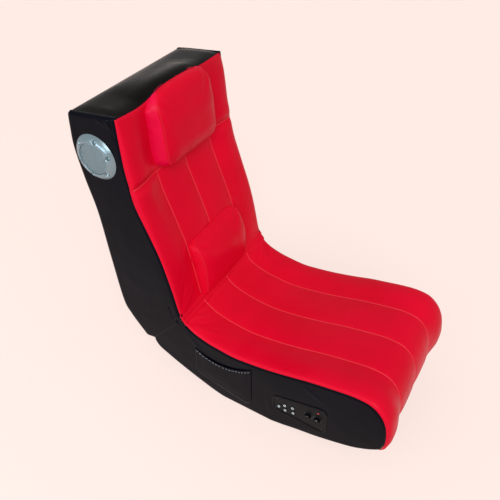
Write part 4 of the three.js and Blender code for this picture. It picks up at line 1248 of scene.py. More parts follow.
def cover_grid(route, start, end, floor=None):
    rows = np.linspace(start, end, max(2, round((end - start) / ROW_SPACING)))
    columns = cover_columns(COARSE)
    across = columns[None, :] + 0 * rows[:, None]
    plain = place(route.spot(rows)[:, None, :] + 0 * across[..., None], across)
    waves = waving(plain, COVER_WAVES)
    rim = ease((CUSHION_HALF - np.abs(across)) / WAVE_FADE)
    height = -COVER_SINK + np.minimum(waves * rim, COVER_SINK)
    spots = route.raised(rows[:, None] + 0 * across, height)
    if floor is not None:
        spots[..., 1] = np.maximum(spots[..., 1], floor)
    return place(spots, across)


REAR_START = 0.002
FLOOR_CLEAR = 0.0004


def add_covers():
    under = Route(np.concatenate([seat_bottom.spots, [NOTCH]]))
    grid = cover_grid(under, NOSE_WRAP, under.length, floor=FLOOR_CLEAR - CREASE_HEIGHT)
    add_sheet_cover("underside_skin", grid, "seat", ["seat_underside_cover"])
    behind = Route(np.concatenate([[NOTCH], back_rear.spots, [BACK_TOP_REAR]]))
    grid = cover_grid(behind, REAR_START, behind.length)
    add_sheet_cover("rear_skin", grid, "back", ["back_rear_cover"])
    add_top_cover()


TOP_CROWN = 0.006
TOP_LIFT = 0.010  # over the head pillow
TOP_LIFT_HALF = 0.1
TOP_LENGTH = 0.13
TOP_CREASES = [
    ((0.118, 0.186), (0.070, 0.170), 0.0060, 0.0010),
    ((0.124, 0.176), (0.095, 0.140), 0.0050, 0.0008),
    ((0.126, 0.108), (0.075, 0.100), 0.0070, 0.0010),
    ((0.126, -0.105), (0.080, -0.098), 0.0070, 0.0009),
]


def add_top_cover():
    columns = cover_columns(MEDIUM)
    shares = np.concatenate([[0, 0.01, 0.03, 0.06], np.linspace(0.1, 0.9, 24),
                             [0.94, 0.965, 0.985, 1]])
    across = columns[None, :] + 0 * shares[:, None]
    share = shares[:, None, None] + 0 * across[..., None]
    front = BACK_TOP_FRONT + seam_shift(across)
    spots = BACK_TOP_REAR * (1 - share) + front * share
    crown = 1 - (2 * share[..., 0] - 1) ** 4
    side = ease((CUSHION_HALF - np.abs(across)) / WAVE_FADE)
    spots[..., 1] += TOP_CROWN * crown * (0.25 + 0.75 * side)
    lift = np.exp(-((across / TOP_LIFT_HALF) ** 4)) * TOP_LIFT
    spots[..., 1] += lift * share[..., 0] ** 2 * crown
    plain = place(spots, across)
    waves = waving(plain, TOP_WAVES)
    spots[..., 1] += waves * crown * side
    spots[..., 1] += creased(share[..., 0] * TOP_LENGTH, across, TOP_CREASES) * crown
    grid = place(spots, across)
    add_sheet_cover("top_skin", grid, "back", ["back_top_cover"], top_vinyl)
    edge = grid[-1] + turned_move(back_front.outward(0.0) * SEAM_LIFT)
    welt = joined("top_welt", [along_tube(edge, TOP_WELT_RADIUS)], black_vinyl)
    finish_piece(welt, "back")


# Pillows

def corner_rounded(along, across, half_along, half_across, radius):
    """Moves the corners of a rectangle's grid in until they are round"""
    over_along = np.clip(np.abs(along) - (half_along - radius), 0, radius)
    over_across = np.clip(np.abs(across) - (half_across - radius), 0, radius)
    new_along = over_along * np.sqrt(1 - over_across**2 / (2 * radius**2))
    new_across = over_across * np.sqrt(1 - over_along**2 / (2 * radius**2))
    return (
        along - np.sign(along) * (over_along - new_along),
        across - np.sign(across) * (over_across - new_across),
    )


PILLOW_WAVES = [(17, 5.0, 0.0014)]
PILLOW_SEAM_DIP = 0.0012
PILLOW_SEAM_WIDTH = 0.0018
WALL_RINGS = 7
WALL_BULGE = 0.002
PUCKERS = [(90, 0.0011), (28, 0.0016)]  # scale and height
# From the start or the end: from and to, along and in from a side, then width and height
PILLOW_PULLS = [
    (1, (0.006, 0.008), (0.038, 0.042), 0.0050, -0.0014),
    (1, (0.016, 0.004), (0.050, 0.022), 0.0040, 0.0013),
    (-1, (0.010, 0.006), (0.034, 0.034), 0.0055, -0.0012),
]


class Pillow:
    """A pillow sewn onto the back: a crowned face with a gusset round it"""

    def __init__(self, name, start, end, half, inset, radii, thickness, wall, shift=None):
        self.wall = wall
        self.name, self.start, self.end, self.half, self.inset = name, start, end, half, inset
        self.radii, self.thickness, self.shift = radii, thickness, shift

    def plan(self, rows, columns, inset):
        """Places along and across the back of a grid with round corners"""
        half_along = (self.end - self.start) / 2
        middle = (self.end + self.start) / 2
        along, across = np.meshgrid((rows - middle), columns, indexing="ij")
        radius = np.where(along > 0, self.radii[1], self.radii[0])
        along, across = corner_rounded(along, across, half_along, self.half, radius)
        return (
            middle + along * (half_along - inset[0]) / half_along,
            across * (self.half - inset[1]) / self.half,
        )

    def points(self, along, across, height):
        spots = back_front.raised(along, height)
        if self.shift is not None:
            spots = spots + self.shift(along, across)
        return place(spots, across)

    def surfaces(self, rows, columns):
        along, across = self.plan(rows, columns, (0.0, self.inset))
        height = self.thickness(along - self.start, self.end - along, self.half - np.abs(across))
        top = self.points(along, across, height)
        base_along, base_across = self.plan(rows, columns, (0.0, 0.0))
        return top, self.points(base_along, base_across, -PILLOW_DEPTH + 0 * height)

    def build(self, node):
        coarse_rows = spread_between(self.start, self.end, COARSE)
        coarse_columns = spread_between(-self.half, self.half, COARSE)
        top, bottom = self.surfaces(coarse_rows, coarse_columns)
        trial, walls, base = make_pad(self.name + "_trial", top, bottom, red_vinyl)
        count = len(coarse_columns)
        held = set(walls) | set(base) | set(rim_of(len(coarse_rows), count))
        move = swell(trial, sorted(held), slack=PILLOW_SLACK, cap=PILLOW_CAP)[: top.shape[0] * count]
        rim = np.ones(top.shape[:2], bool)
        rim[1:-1, 1:-1] = False
        move = calmed(move.reshape(*top.shape), rim, PILLOW_CALM)
        bpy.data.objects.remove(trial)

        rows = ringed(self.start, self.end, PILLOW_RINGS, PILLOW_INSET, FINE)
        columns = ringed(-self.half, self.half, PILLOW_RINGS, PILLOW_INSET, FINE)
        top, bottom = self.surfaces(rows, columns)
        move = on_grid(move, coarse_rows, coarse_columns, rows, columns)
        along, across = np.meshgrid(rows, columns, indexing="ij")
        edge = np.minimum(self.half - np.abs(across), np.minimum(along - self.start,
                                                                 self.end - along))
        normal = turned_move(back_front.outward(along))
        uneven = waving(top, PILLOW_WAVES) * ease(edge / WAVE_FADE)
        dip = PILLOW_SEAM_DIP * np.exp(-((edge / PILLOW_SEAM_WIDTH) ** 2))
        pulls = creased(along, across, self.pulls()) - dip
        top = top + move + normal * (uneven + pulls)[..., None]
        piece, _, _ = make_pad(self.name, top, bottom, red_vinyl, WALL_RINGS, WALL_BULGE)
        self.finish_walls(piece, top, len(rows), len(columns))
        finish_piece(piece, "back", [node])
        self.add_seams(top)

    def pulls(self):
        """Small folds that run in from the corners"""
        folds = []
        for side in (1, -1):
            for way, near, far, width, rise in PILLOW_PULLS:
                edge = self.start if way > 0 else self.end
                near, far = (
                    (edge + way * along, side * (self.half - aside)) for along, aside in (near, far)
                )
                folds.append((near, far, width, rise))
        return folds

    def finish_walls(self, piece, top, rows, columns):
        """The wall material on the wall's faces, and puckers on the wall's points. For the head pillow that
        material is a lighter, bluer copy of the red vinyl that paints light on its sides.
        """
        piece.data.materials.append(self.wall)
        first = 2 * (rows - 1) * (columns - 1)
        for polygon in piece.data.polygons[first:]:
            polygon.material_index = 1
        start = rows * columns
        wall = piece.data.vertices[start: len(piece.data.vertices) - start]
        middle = Vector(top.reshape(-1, 3).mean(axis=0))
        for vertex in wall:
            pucker = sum(noise.noise(vertex.co * scale) * height for scale, height in PUCKERS)
            outward = (vertex.co - middle).normalized()
            vertex.co += outward * pucker

    def add_seams(self, top):
        rows, columns = top.shape[:2]
        rim = rim_of(rows, columns)
        flat = top.reshape(-1, 3)
        edge = flat[rim]
        welt = joined(self.name + "_welt", [along_tube(edge, WELT_RADIUS, closed=True)], red_vinyl)
        finish_piece(welt, "back")
        inner = top[4:-4, 3], top[4:-4, -4]
        threads = stitches(self.name + "_thread", inner, red_thread)
        finish_piece(threads, "back")


HEAD_FULL = 0.037
HEAD_EDGE = 0.004
HEAD_UPPER_REACH = 0.075
HEAD_LOWER_REACH = 0.045
PILLOW_SIDE_REACH = 0.050


def head_thickness(from_start, to_end, from_side):
    lower = 0.46 + 0.54 * dome(to_end, HEAD_LOWER_REACH)
    full = HEAD_FULL * dome(from_start, HEAD_UPPER_REACH) * lower
    return HEAD_EDGE + full * (0.58 + 0.42 * dome(from_side, PILLOW_SIDE_REACH))


LUMBAR_PROFILE = [
    (0.0, 0.006), (0.012, 0.019), (0.03, 0.029), (0.058, 0.035), (0.085, 0.034), (0.105, 0.031),
    (0.13, 0.026), (0.15, 0.021), (0.168, 0.014),
]


def lumbar_thickness(from_start, to_end, from_side):
    table = np.array(LUMBAR_PROFILE)
    flat = np.clip(np.ravel(from_start), 0, table[-1, 0])
    full = spline_at(table[:, 1], table[:, 0], flat).reshape(np.shape(from_start))
    return full * (0.62 + 0.38 * dome(from_side, PILLOW_SIDE_REACH))


def head_shift(along, across):
    """The pillow's upper end follows the top seam"""
    return seam_shift(across) * (1 - ease(along / SHIFT_REACH))[..., None]


HEAD_GAP = 0.001  # to the top seam and to the level one
HEAD_HALF = 0.115
HEAD_INSET = 0.014
HEAD_RADII = (0.034, 0.034)
LUMBAR_RISE = 0.166  # of its upper and lower end over the crease
LUMBAR_FOOT = 0.002
LUMBAR_HALF = 0.107
LUMBAR_INSET = 0.007
LUMBAR_RADII = (0.026, 0.020)


def add_pillows():
    # The head pillow's gusset takes the lighter gusset vinyl, painted light on its sides
    head = Pillow(
        "head_pad", HEAD_GAP, cross_mark - HEAD_GAP, HEAD_HALF, HEAD_INSET, HEAD_RADII,
        head_thickness, gusset_vinyl, head_shift,
    )
    head.build("head_pillow")
    lumbar = Pillow(
        "lumbar_pad", back_mark(LUMBAR_RISE), back_mark(LUMBAR_FOOT), LUMBAR_HALF, LUMBAR_INSET,
        LUMBAR_RADII, lumbar_thickness, red_vinyl,
    )
    lumbar.build("lumbar_pillow")


# Turned pieces

def turned(middle, profile, side, steps=72):
    """Points and faces of a form turned about an axis that runs across the chair. The profile
    gives distances from the axis and from the chair's middle, outwards in its face."""
    points = []
    for radius, across in profile:
        for step in range(steps):
            spot = middle + radius * ray(2 * math.pi * step / steps)
            points.append(place(spot, side * across))
    return points, ring_faces(len(profile), steps, side > 0)


BEZEL_RADIUS = 0.056
RIM_OUTER = 0.0404
RIM_INNER = 0.0378
BEZEL_EDGE = 0.0012
RIM_HEIGHT = 0.0120
BEZEL_ROUNDNESS = 1.6
BEZEL_FOOT = [(0.0002, 0.0001), (0.0, 0.0004)]  # in from the outer edge, and height
BEZEL_LIP = [
    (0.0398, 0.01215), (0.0391, 0.0122), (0.0385, 0.0120), (0.0381, 0.0114),
    (RIM_INNER, 0.0100), (RIM_INNER, 0.0080),
]
WELL_FLOOR = 0.0028
WELL_RADIUS = 0.0042
WELL_SLOPE = 0.0016
GROOVE_PROFILE = [(0.0380, 0.0100), (0.0378, 0.0085), (0.0372, 0.0084), (0.0368, 0.0090)]
GRILLE_RADIUS = 0.0372
GRILLE_RISE = 0.0022
GRILLE_BASE = 0.0098
GRILLE_EDGE = [(0.0370, -0.0008), (0.0372, 0.0001), (0.0364, 0.0004), (0.0350, 0.0001)]
HOLE_PITCH = 0.0030
HOLE_RADIUS = 0.00080
HOLE_MARGIN = 0.0006
SCREW_CIRCLE = 0.045
SCREW_PHASE_SHARE = 0.28
SCREW_COUNT = 6
SCREW_RADIUS = 0.0034
SCREW_HEIGHT = 0.0019
SCREW_ROUNDNESS = 0.96
SLOT_WIDTH_SHARE = 0.17  # of the head's radius, each side of an arm's middle
SLOT_REACH_SHARE = 0.62
SLOT_DEPTH_SHARE = 0.5
BEZEL_STANDS = 0.0003  # clear of the cover's face


def bezel_profile():
    """From the outer edge over the slope to the lip round the grille"""
    profile = [(BEZEL_RADIUS - inset, rise) for inset, rise in BEZEL_FOOT]
    for share in np.concatenate([[1.0, 0.985], np.linspace(0.96, 0.0, 30)]):
        radius = RIM_OUTER + (BEZEL_RADIUS - RIM_OUTER) * share
        rise = BEZEL_EDGE + (RIM_HEIGHT - BEZEL_EDGE) * (1 - share**BEZEL_ROUNDNESS)
        profile.append((radius, rise))
    return profile + BEZEL_LIP


def screw_spots(middle):
    spots = []
    for number in range(SCREW_COUNT):
        angle = 2 * math.pi * (number + SCREW_PHASE_SHARE) / SCREW_COUNT
        spots.append(middle + SCREW_CIRCLE * ray(angle))
    return spots


def grille_height(radius):
    return GRILLE_BASE + GRILLE_RISE * (1 - (radius / GRILLE_RADIUS) ** 2)


def punched_sheet(middle, side, base):
    """Points and faces of a domed sheet with round holes in a honeycomb pattern"""
    points, faces = [], []

    def add_ring(centre, radius, count, turn):
        for step in range(count):
            angle = 2 * math.pi * (step + turn) / count
            spot = centre + radius * ray(angle)
            height = base + grille_height(min(np.linalg.norm(spot), GRILLE_RADIUS))
            points.append(place(middle + spot, side * height))

    cell = HOLE_PITCH / math.sqrt(3)
    reach = GRILLE_RADIUS - cell
    rows = int(reach / (cell * 1.5)) + 1
    for row in range(-rows, rows + 1):
        for column in range(-20, 21):
            centre = np.array([(column + row % 2 / 2) * HOLE_PITCH, row * cell * 1.5])
            if np.linalg.norm(centre) > reach - HOLE_MARGIN:
                continue
            start = len(points)
            add_ring(centre, cell, 6, 0.5)
            add_ring(centre, HOLE_RADIUS, 12, 0.0)
            for step in range(6):
                corner, after = start + step, start + (step + 1) % 6
                hole = start + 6
                first, second, third = (2 * step + 1) % 12, (2 * step + 2) % 12, (2 * step + 3) % 12
                faces.append((corner, hole + second, hole + first))
                faces.append((corner, after, hole + second))
                faces.append((after, hole + third, hole + second))
    if side < 0:
        faces = [face[::-1] for face in faces]
    return points, faces


def cross_screw(middle, side, base, turn, radius=SCREW_RADIUS, height=SCREW_HEIGHT):
    """Points and faces of a domed screw head with a cross cut into it"""
    steps, rings = 32, 12
    points, faces = [], []
    for ring in range(1, rings + 1):
        share = ring / rings
        for step in range(steps):
            angle = 2 * math.pi * step / steps
            away = radius * share
            spot = away * ray(angle)
            rise = height * math.sqrt(max(0.0, 1 - share**2 * SCREW_ROUNDNESS))
            arm = min(abs(away * math.sin(angle - turn)), abs(away * math.cos(angle - turn)))
            if arm < radius * SLOT_WIDTH_SHARE and share < SLOT_REACH_SHARE:
                rise -= height * SLOT_DEPTH_SHARE
            points.append(place(middle + spot, side * (base + rise)))
    for ring in range(rings - 1):
        for step in range(steps):
            after = (step + 1) % steps
            low, high = ring * steps, (ring + 1) * steps
            face = (low + step, high + step, high + after, low + after)
            faces.append(face if side < 0 else face[::-1])
    low = len(points)
    for step in range(steps):
        angle = 2 * math.pi * step / steps
        spot = radius * ray(angle)
        points.append(place(middle + spot, side * base))
    for step in range(steps):
        after = (step + 1) % steps
        rim = (rings - 1) * steps
        face = (rim + step, low + step, low + after, rim + after)
        faces.append(face if side < 0 else face[::-1])
    centre = len(points)
    points.append(place(middle, side * (base + height * (1 - SLOT_DEPTH_SHARE))))
    for step in range(steps):
        face = (centre, step, (step + 1) % steps)
        faces.append(face if side < 0 else face[::-1])
    return points, faces


def add_speaker(side_name, side):
    middle = middle_of("speaker_grille_" + side_name)
    base = HALF_WIDTH + BEZEL_STANDS
    profile = [(radius, base + rise) for radius, rise in bezel_profile()]
    bezel = joined("bezel_" + side_name, [turned(middle, profile, side, 240)], silver_paint)
    spots = screw_spots(middle)
    for vertex in bezel.data.vertices:
        spot = np.array([CREASE_Y - vertex.co.y, vertex.co.z - CREASE_HEIGHT])
        away = min(np.linalg.norm(spot - screw) for screw in spots)
        slope = ease((away - WELL_RADIUS) / WELL_SLOPE)
        floor = base + WELL_FLOOR + (RIM_HEIGHT - WELL_FLOOR) * slope
        if away < WELL_RADIUS + WELL_SLOPE and side * -vertex.co.x > floor:
            vertex.co.x = -side * floor
    finish_piece(bezel, "back", ["speaker_bezel_" + side_name])
    # The groove between bezel and grille is given the driver's black plastic as painted shade in the gap
    groove_profile = [(radius, base + rise) for radius, rise in GROOVE_PROFILE]
    groove = joined("groove_" + side_name, [turned(middle, groove_profile, side)], driver_plastic)
    finish_piece(groove, "back")
    edge = [(radius, base + grille_height(radius) + lift) for radius, lift in GRILLE_EDGE]
    sheet = joined(
        "grille_" + side_name,
        [punched_sheet(middle, side, base), turned(middle, edge, side)], grille_paint,
    )
    finish_piece(sheet, "back", ["speaker_grille_" + side_name])
    heads, nodes = [], []
    for number, spot in enumerate(spots):
        heads.append(cross_screw(spot, side, base + WELL_FLOOR, number * 1.3))
        nodes.append(f"speaker_screw_{side_name}_{number + 1}")
    screws = joined("bezel_screws_" + side_name, heads, screw_steel)
    finish_piece(screws, "back", nodes)


# Control panel

PANEL_CORNER = 0.015
PANEL_MARGIN = 0.0005  # of cover left inside the outline
PANEL_RIM = [
    (-0.0040, 0.0002), (-0.0038, 0.0012), (-0.0030, 0.0018), (-0.0018, 0.0019),
    (-0.0010, 0.0014), (-0.0002, 0.0012), (0.0006, 0.0016), (0.0014, 0.0016),
    (0.0022, 0.0010), (0.0026, 0.0001),
]  # inset from the outline and height over the panel
PANEL_SCREWS = [(0.055, 0.17), (0.05, 0.86), (0.945, 0.88), (0.945, 0.1)]  # as panel_at shares
PANEL_SCREW_SIZE = (0.0026, 0.0011)  # radius and height
TICK_INNER = 0.0102  # from a knob's middle
TICK_OUTER = 0.0122
TICK_COUNT = 11
PANEL_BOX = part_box("control_panel")
PANEL_FACE = -PANEL_BOX[0].x
PANEL_REAR = CREASE_Y - PANEL_BOX[1].y
PANEL_FRONT = CREASE_Y - PANEL_BOX[0].y
PANEL_REAR_SPAN = (-0.17595, -0.12595)
PANEL_FRONT_SPAN = (-0.18205, -0.08905)


def panel_at(along, down):
    """A place on the panel, as shares along it and down it"""
    low = PANEL_REAR_SPAN[0] * (1 - along) + PANEL_FRONT_SPAN[0] * along
    high = PANEL_REAR_SPAN[1] * (1 - along) + PANEL_FRONT_SPAN[1] * along
    return np.array([PANEL_REAR * (1 - along) + PANEL_FRONT * along, high * (1 - down) + low * down])


def panel_outline(inset):
    """The panel's outline with round corners, moved in by an inset"""
    corners = [panel_at(*shares) for shares in ((0, 0), (0, 1), (1, 1), (1, 0))]
    spots = []
    for index, corner in enumerate(corners):
        before = corners[index - 1] - corner
        after = corners[(index + 1) % 4] - corner
        before /= np.linalg.norm(before)
        after /= np.linalg.norm(after)
        half = math.acos(float(np.clip(before @ after, -1, 1))) / 2
        bisector = (before + after) / np.linalg.norm(before + after)
        centre = corner + bisector * PANEL_CORNER / math.sin(half)
        from_angle = math.atan2(*(corner + before * PANEL_CORNER / math.tan(half) - centre)[::-1])
        to_angle = math.atan2(*(corner + after * PANEL_CORNER / math.tan(half) - centre)[::-1])
        turn = (to_angle - from_angle + math.pi) % (2 * math.pi) - math.pi
        for share in np.linspace(0, 1, 12):
            angle = from_angle + turn * share
            spots.append(centre + ray(angle) * (PANEL_CORNER - inset))
    return np.array(spots)


PANEL_EDGE = Route(np.concatenate([panel_outline(0), panel_outline(0)[:1]]))


def in_panel(spot):
    """Whether a spot lies well inside the panel's outline"""
    steps = PANEL_EDGE.steps
    offset = spot - PANEL_EDGE.spots[:-1]
    turn = steps[:, 0] * offset[:, 1] - steps[:, 1] * offset[:, 0]
    return bool(np.all(turn > 0) or np.all(turn < 0)) and PANEL_EDGE.distance(spot) > PANEL_MARGIN


def add_panel():
    points = []
    for inset, rise in PANEL_RIM:
        points.extend(place(panel_outline(inset), PANEL_FACE + rise))
    faces = ring_faces(len(PANEL_RIM), len(panel_outline(0)))
    rim = make_piece("panel_rim", points, faces, black_plastic)
    finish_piece(rim, "seat")
    heads = []
    for number, shares in enumerate(PANEL_SCREWS):
        heads.append(cross_screw(panel_at(*shares), 1, PANEL_FACE, number, *PANEL_SCREW_SIZE))
    finish_piece(joined("panel_screws", heads, dark_steel), "seat")
    add_ticks()


SOCKET_WASHER = [(0.0054, 0.0001), (0.0054, 0.0007), (0.0050, 0.0010), (0.0037, 0.0010)]
SOCKET_RING = [
    (0.0037, 0.0006), (0.0037, 0.0026), (0.0034, 0.0031), (0.0027, 0.0031), (0.0022, 0.0028),
    (0.0020, 0.0022), (0.0020, 0.0006),
]
SOCKET_CORE = [(0.0020, 0.0018), (0.0012, 0.0018), (0.0010, 0.0014), (0.0010, 0.0004),
               (0.00001, 0.0004)]
SOCKET_STEPS = 40


def on_panel(profile):
    return [(radius, PANEL_FACE + rise) for radius, rise in profile]


def add_socket(node):
    """A round socket: a dark washer, a bright ring and a dark core with its hole"""
    middle = middle_of(node)
    kinds = (("washer", SOCKET_WASHER, black_plastic), ("core", SOCKET_CORE, black_plastic))
    for kind, profile, material in kinds:
        form = turned(middle, on_panel(profile), 1, SOCKET_STEPS)
        finish_piece(joined(f"{node}_{kind}", [form], material), "seat")
    ring = turned(middle, on_panel(SOCKET_RING), 1, SOCKET_STEPS)
    finish_piece(joined(node + "_ring", [ring], socket_metal), "seat", [node])


def bar(start, end, width=0.0005, rise=0.0002):
    """Points and faces of a thin printed line on the panel"""
    start, end = np.array(start), np.array(end)
    aside = np.array([start[1] - end[1], end[0] - start[0]])
    aside = aside / np.linalg.norm(aside) * width / 2
    corners = [start - aside, start + aside, end + aside, end - aside]
    points = [place(corner, PANEL_FACE) for corner in corners]
    points += [place(corner, PANEL_FACE + rise) for corner in corners]
    faces = [(4, 5, 6, 7)] + [
        (index, (index + 1) % 4, 4 + (index + 1) % 4, 4 + index) for index in range(4)
    ]
    return points, faces


def add_ticks():
    """Scale marks round both knobs"""
    parts = []
    for node in ("volume_knob", "bass_knob"):
        middle = middle_of(node)
        for step in range(TICK_COUNT):
            angle = math.radians(240 - 30 * step)
            along = ray(angle)
            parts.append(bar(middle + along * TICK_INNER, middle + along * TICK_OUTER))
    finish_piece(joined("scale_marks", parts, print_grey), "seat")


KNOB_PROFILE = [
    (0.0080, 0.0004), (0.0081, 0.0012), (0.0079, 0.0022), (0.0077, 0.0050), (0.0074, 0.0062),
    (0.0066, 0.0069), (0.0050, 0.0070), (0.0044, 0.0066), (0.0020, 0.0065), (0.00002, 0.0065),
]
POINTER_PROFILE = [(0.0011, 0.0066), (0.0010, 0.0073), (0.0004, 0.0074), (0.00002, 0.0074)]
POINTER_RISE = 0.0050  # over the knob's middle
KNOB_STEPS = 96
GRIP_COUNT = 24
GRIP_DEPTH = 0.0003
GRIP_LOW, GRIP_HIGH = 0.0015, 0.0064


def add_knob(node, dot):
    middle = middle_of(node)
    points = []
    for radius, rise in KNOB_PROFILE:
        for step in range(KNOB_STEPS):
            angle = 2 * math.pi * step / KNOB_STEPS
            gripped = GRIP_DEPTH * math.cos(GRIP_COUNT * angle) if GRIP_LOW < rise < GRIP_HIGH else 0.0
            points.append(place(middle + (radius + gripped) * ray(angle), PANEL_FACE + rise))
    faces = ring_faces(len(KNOB_PROFILE), KNOB_STEPS, True)
    knob = make_piece(node + "_cap", points, faces, black_plastic)
    finish_piece(knob, node, [node])
    pointer = turned(middle + np.array([0.0, POINTER_RISE]), on_panel(POINTER_PROFILE), 1, 20)
    finish_piece(joined(node + "_dot", [pointer], dot), node)


# Pocket

POCKET_REAR = 0.035
POCKET_FRONT = 0.206
POCKET_MOUTH = [(0.035, -0.0839), (0.1205, -0.133), (0.206, -0.0659)]
POCKET_BOTTOM = (-0.182, -0.222)
POCKET_FACE = 0.0001  # outside the cover
POCKET_LIMIT = 0.2118  # the furthest from the chair's middle
POCKET_BULGE = 0.0012
POCKET_CORNER_SHARE = 0.14
GATHER_COUNT = 21
GATHER_HEIGHT = 0.0005
GATHER_SHARE = 0.10
GATHER_END_SHARE = 0.05
HEM_HEIGHT = 0.0005
HEM_SHARE = 0.035  # of the way down
HEM_WIDTH_SHARE = 0.022
HEM_OFFSET = (-0.0002, 0, 0.0003)
GLINT_DASH_OFFSET = (-0.0012, 0, 0)
POCKET_GLINT_DASH = (0.0055, 0.0105)  # length and spacing
POCKET_WAVES = [(24, 9.0, 0.0004)]
POCKET_FADE = 0.02
POCKET_DEPTH = 0.1  # roughly, for what fades out near its edges
POCKET_CLEAR = 0.0003


def pocket_mouth(share):
    start, middle, end = (np.array(spot) for spot in POCKET_MOUTH)
    share = np.asarray(share)[..., None]
    return start * (1 - share) ** 2 + middle * 2 * share * (1 - share) + end * share**2


def add_pocket():
    columns = np.linspace(0, 1, 121)
    rows = np.concatenate([[0, 0.012, 0.025, 0.04, 0.055, 0.07], np.linspace(0.09, 1, 26)])
    share = columns[None, :] + 0 * rows[:, None]
    down = rows[:, None] + 0 * share
    mouth = pocket_mouth(share)
    bottom = np.stack([
        POCKET_REAR + (POCKET_FRONT - POCKET_REAR) * share,
        POCKET_BOTTOM[0] + (POCKET_BOTTOM[1] - POCKET_BOTTOM[0]) * share,
    ], axis=-1)
    to_side = np.minimum(share, 1 - share)
    drop = dome(to_side, POCKET_CORNER_SHARE) * 0.16 + 0.84
    spots = mouth * (1 - (down * drop)[..., None]) + bottom * (down * drop)[..., None]
    edge = np.minimum(to_side * (POCKET_FRONT - POCKET_REAR), (1 - down) * POCKET_DEPTH)
    bulge = POCKET_BULGE * ease(edge / WAVE_FADE) * (1 - 0.5 * down)
    ripple = np.cos(2 * math.pi * share * GATHER_COUNT + 0.8 * np.sin(share * 17)) * GATHER_HEIGHT
    gather = np.exp(-(down / GATHER_SHARE) ** 2) * ease(to_side / GATHER_END_SHARE)
    hem = HEM_HEIGHT * np.exp(-(((down - HEM_SHARE) / HEM_WIDTH_SHARE) ** 2))
    sway = waving(place(spots, 0.2), POCKET_WAVES) * ease(edge / POCKET_FADE)
    height = HALF_WIDTH + POCKET_FACE + bulge + ripple * gather + hem + sway
    height = np.clip(height, HALF_WIDTH + POCKET_CLEAR, POCKET_LIMIT)
    grid = place(spots, height)
    rows_count, columns_count = grid.shape[:2]
    faces = grid_faces(rows_count, columns_count, flipped=True)
    piece = make_piece("pocket", grid.reshape(-1, 3), faces, black_vinyl)
    add_backing(piece, POCKET_THICKNESS, 1)
    hem_line = grid[1] + np.array(HEM_OFFSET)
    band = joined("pocket_hem", [along_tube(hem_line, HEM_RADIUS)], black_vinyl)
    finish_piece(band, "seat")
    # Pale dashes along the hem: painted highlights on its gathers, drawn as short light threads
    threads = stitches(
        "pocket_thread", [grid[4] + np.array(GLINT_DASH_OFFSET)], pocket_stitch, *POCKET_GLINT_DASH,
    )
    finish_piece(threads, "seat")
    finish_piece(piece, "seat", ["side_pocket"])


# Camera, floor and light

FLOOR_GLOW = 0.72  # share of the floor's look that no shadow reaches
GLOW_STRENGTH = 1.06
FLOOR_HALF = 9
FLOOR_GAP = 0.0005  # under the chair
AMBIENT_STRENGTH = 0.56
SUN_STRENGTH = 1.75
SUN_WIDTH = 40  # degrees
SUN_AHEAD = (0.62, 0.50, -0.60)
WINDOW_PLACE = (-1.55, 0.45, 1.05)
WINDOW_TARGET = (-0.2, 0.0, 0.25)
WINDOW_SIZE = (1.5, 0.22)
CAMERA_PLACE = (-0.995, -0.5164, 1.3743)
CAMERA_AHEAD = (0.650, 0.384, -0.656)
CAMERA_LENS = 42.4


def add_camera():
    data = bpy.data.cameras.new("camera")
    data.lens = CAMERA_LENS
    data.sensor_width = 36
    camera = bpy.data.objects.new("camera", data)
    camera.location = CAMERA_PLACE
    camera.rotation_euler = Vector(CAMERA_AHEAD).to_track_quat("-Z", "Y").to_euler()
    scene.collection.objects.link(camera)
    scene.camera = camera


def add_area(name, target, place_at, size, power, colour):
    data = bpy.data.lights.new(name, "AREA")
    data.shape = "RECTANGLE"
    data.size, data.size_y = size
    data.energy = power
    data.color = colour
    lamp = bpy.data.objects.new(name, data)
    lamp.location = place_at
    lamp.rotation_euler = (Vector(target) - Vector(place_at)).to_track_quat("-Z", "Y").to_euler()
    scene.collection.objects.link(lamp)


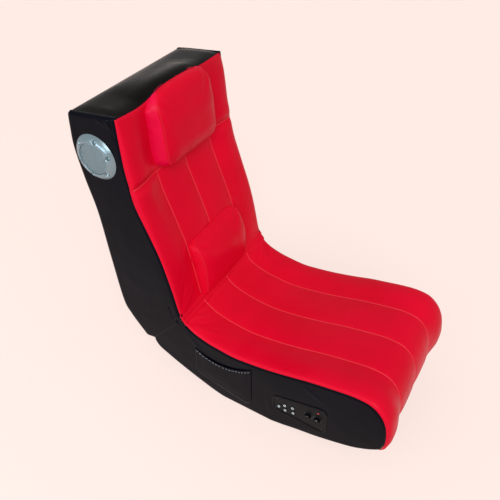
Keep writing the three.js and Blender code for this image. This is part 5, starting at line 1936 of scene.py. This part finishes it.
def add_floor():
    """A pale floor. What the camera sees of it is part its own glow, so its shadow stays soft."""
    finish = Finish("studio_floor", Roughness=0.9, Specular_IOR_Level=0.05)
    cloud = finish.noise(0.6, 2)
    pale = linear(255, 235, 228)
    path = finish.add("ShaderNodeLightPath").outputs
    seen = path["Is Camera Ray"]
    for kind in ("Is Glossy Ray", "Is Transmission Ray"):
        seen = finish.add("ShaderNodeMath", {0: seen, 1: path[kind]}, operation="MAXIMUM").outputs[0]
    clear = finish.ramp(cloud, [(0.3, tuple(0.99 * s for s in pale)), (0.7, pale)])
    finish.colour(finish.mixed(seen, linear(150, 142, 138), clear))
    glow = finish.add("ShaderNodeEmission", {"Color": (*pale, 1), "Strength": GLOW_STRENGTH})
    share = finish.add("ShaderNodeMath", {0: seen, 1: FLOOR_GLOW}, operation="MULTIPLY")
    blend = finish.add("ShaderNodeMixShader", {
        0: share.outputs[0], 1: finish.shader.outputs[0], 2: glow.outputs[0],
    })
    output = finish.tree.nodes["Material Output"]
    finish.tree.links.new(blend.outputs[0], output.inputs["Surface"])
    corners = ((-1, -1), (1, -1), (1, 1), (-1, 1))
    points = [(x * FLOOR_HALF, y * FLOOR_HALF, -FLOOR_GAP) for x, y in corners]
    floor = make_piece("studio_floor", points, [(0, 1, 2, 3)], finish.material)


def add_light():
    world = bpy.data.worlds.new("studio")
    world.use_nodes = True
    nodes, links = world.node_tree.nodes, world.node_tree.links
    background = nodes["Background"]
    background.inputs["Color"].default_value = (1.0, 0.985, 0.97, 1)
    background.inputs["Strength"].default_value = AMBIENT_STRENGTH
    backdrop = nodes.new("ShaderNodeBackground")
    backdrop.inputs["Color"].default_value = (*linear(255, 236, 229), 1)
    blend = nodes.new("ShaderNodeMixShader")
    links.new(nodes.new("ShaderNodeLightPath").outputs["Is Camera Ray"], blend.inputs[0])
    links.new(background.outputs[0], blend.inputs[1])
    links.new(backdrop.outputs[0], blend.inputs[2])
    links.new(blend.outputs[0], nodes["World Output"].inputs["Surface"])
    scene.world = world
    sun = bpy.data.lights.new("sun", "SUN")
    sun.energy = SUN_STRENGTH
    sun.angle = math.radians(SUN_WIDTH)
    lamp = bpy.data.objects.new("sun", sun)
    lamp.rotation_euler = Vector(SUN_AHEAD).to_track_quat("-Z", "Y").to_euler()
    scene.collection.objects.link(lamp)
    add_area("window", WINDOW_TARGET, WINDOW_PLACE, WINDOW_SIZE, 8, (0.78, 0.89, 1.0))


dress_nodes()
add_camera()
add_cushions()
add_pillows()
add_sides()
add_crease_strip()
add_covers()
for name, direction in (("right", 1), ("left", -1)):
    add_speaker(name, direction)
add_panel()
for name in ("audio_socket_1", "audio_socket_2", "audio_socket_3", "audio_socket_4", "power_socket"):
    add_socket(name)
add_knob("volume_knob", print_grey)
add_knob("bass_knob", white_print)
add_pocket()
add_floor()
add_light()
scene.view_settings.view_transform = "Standard"
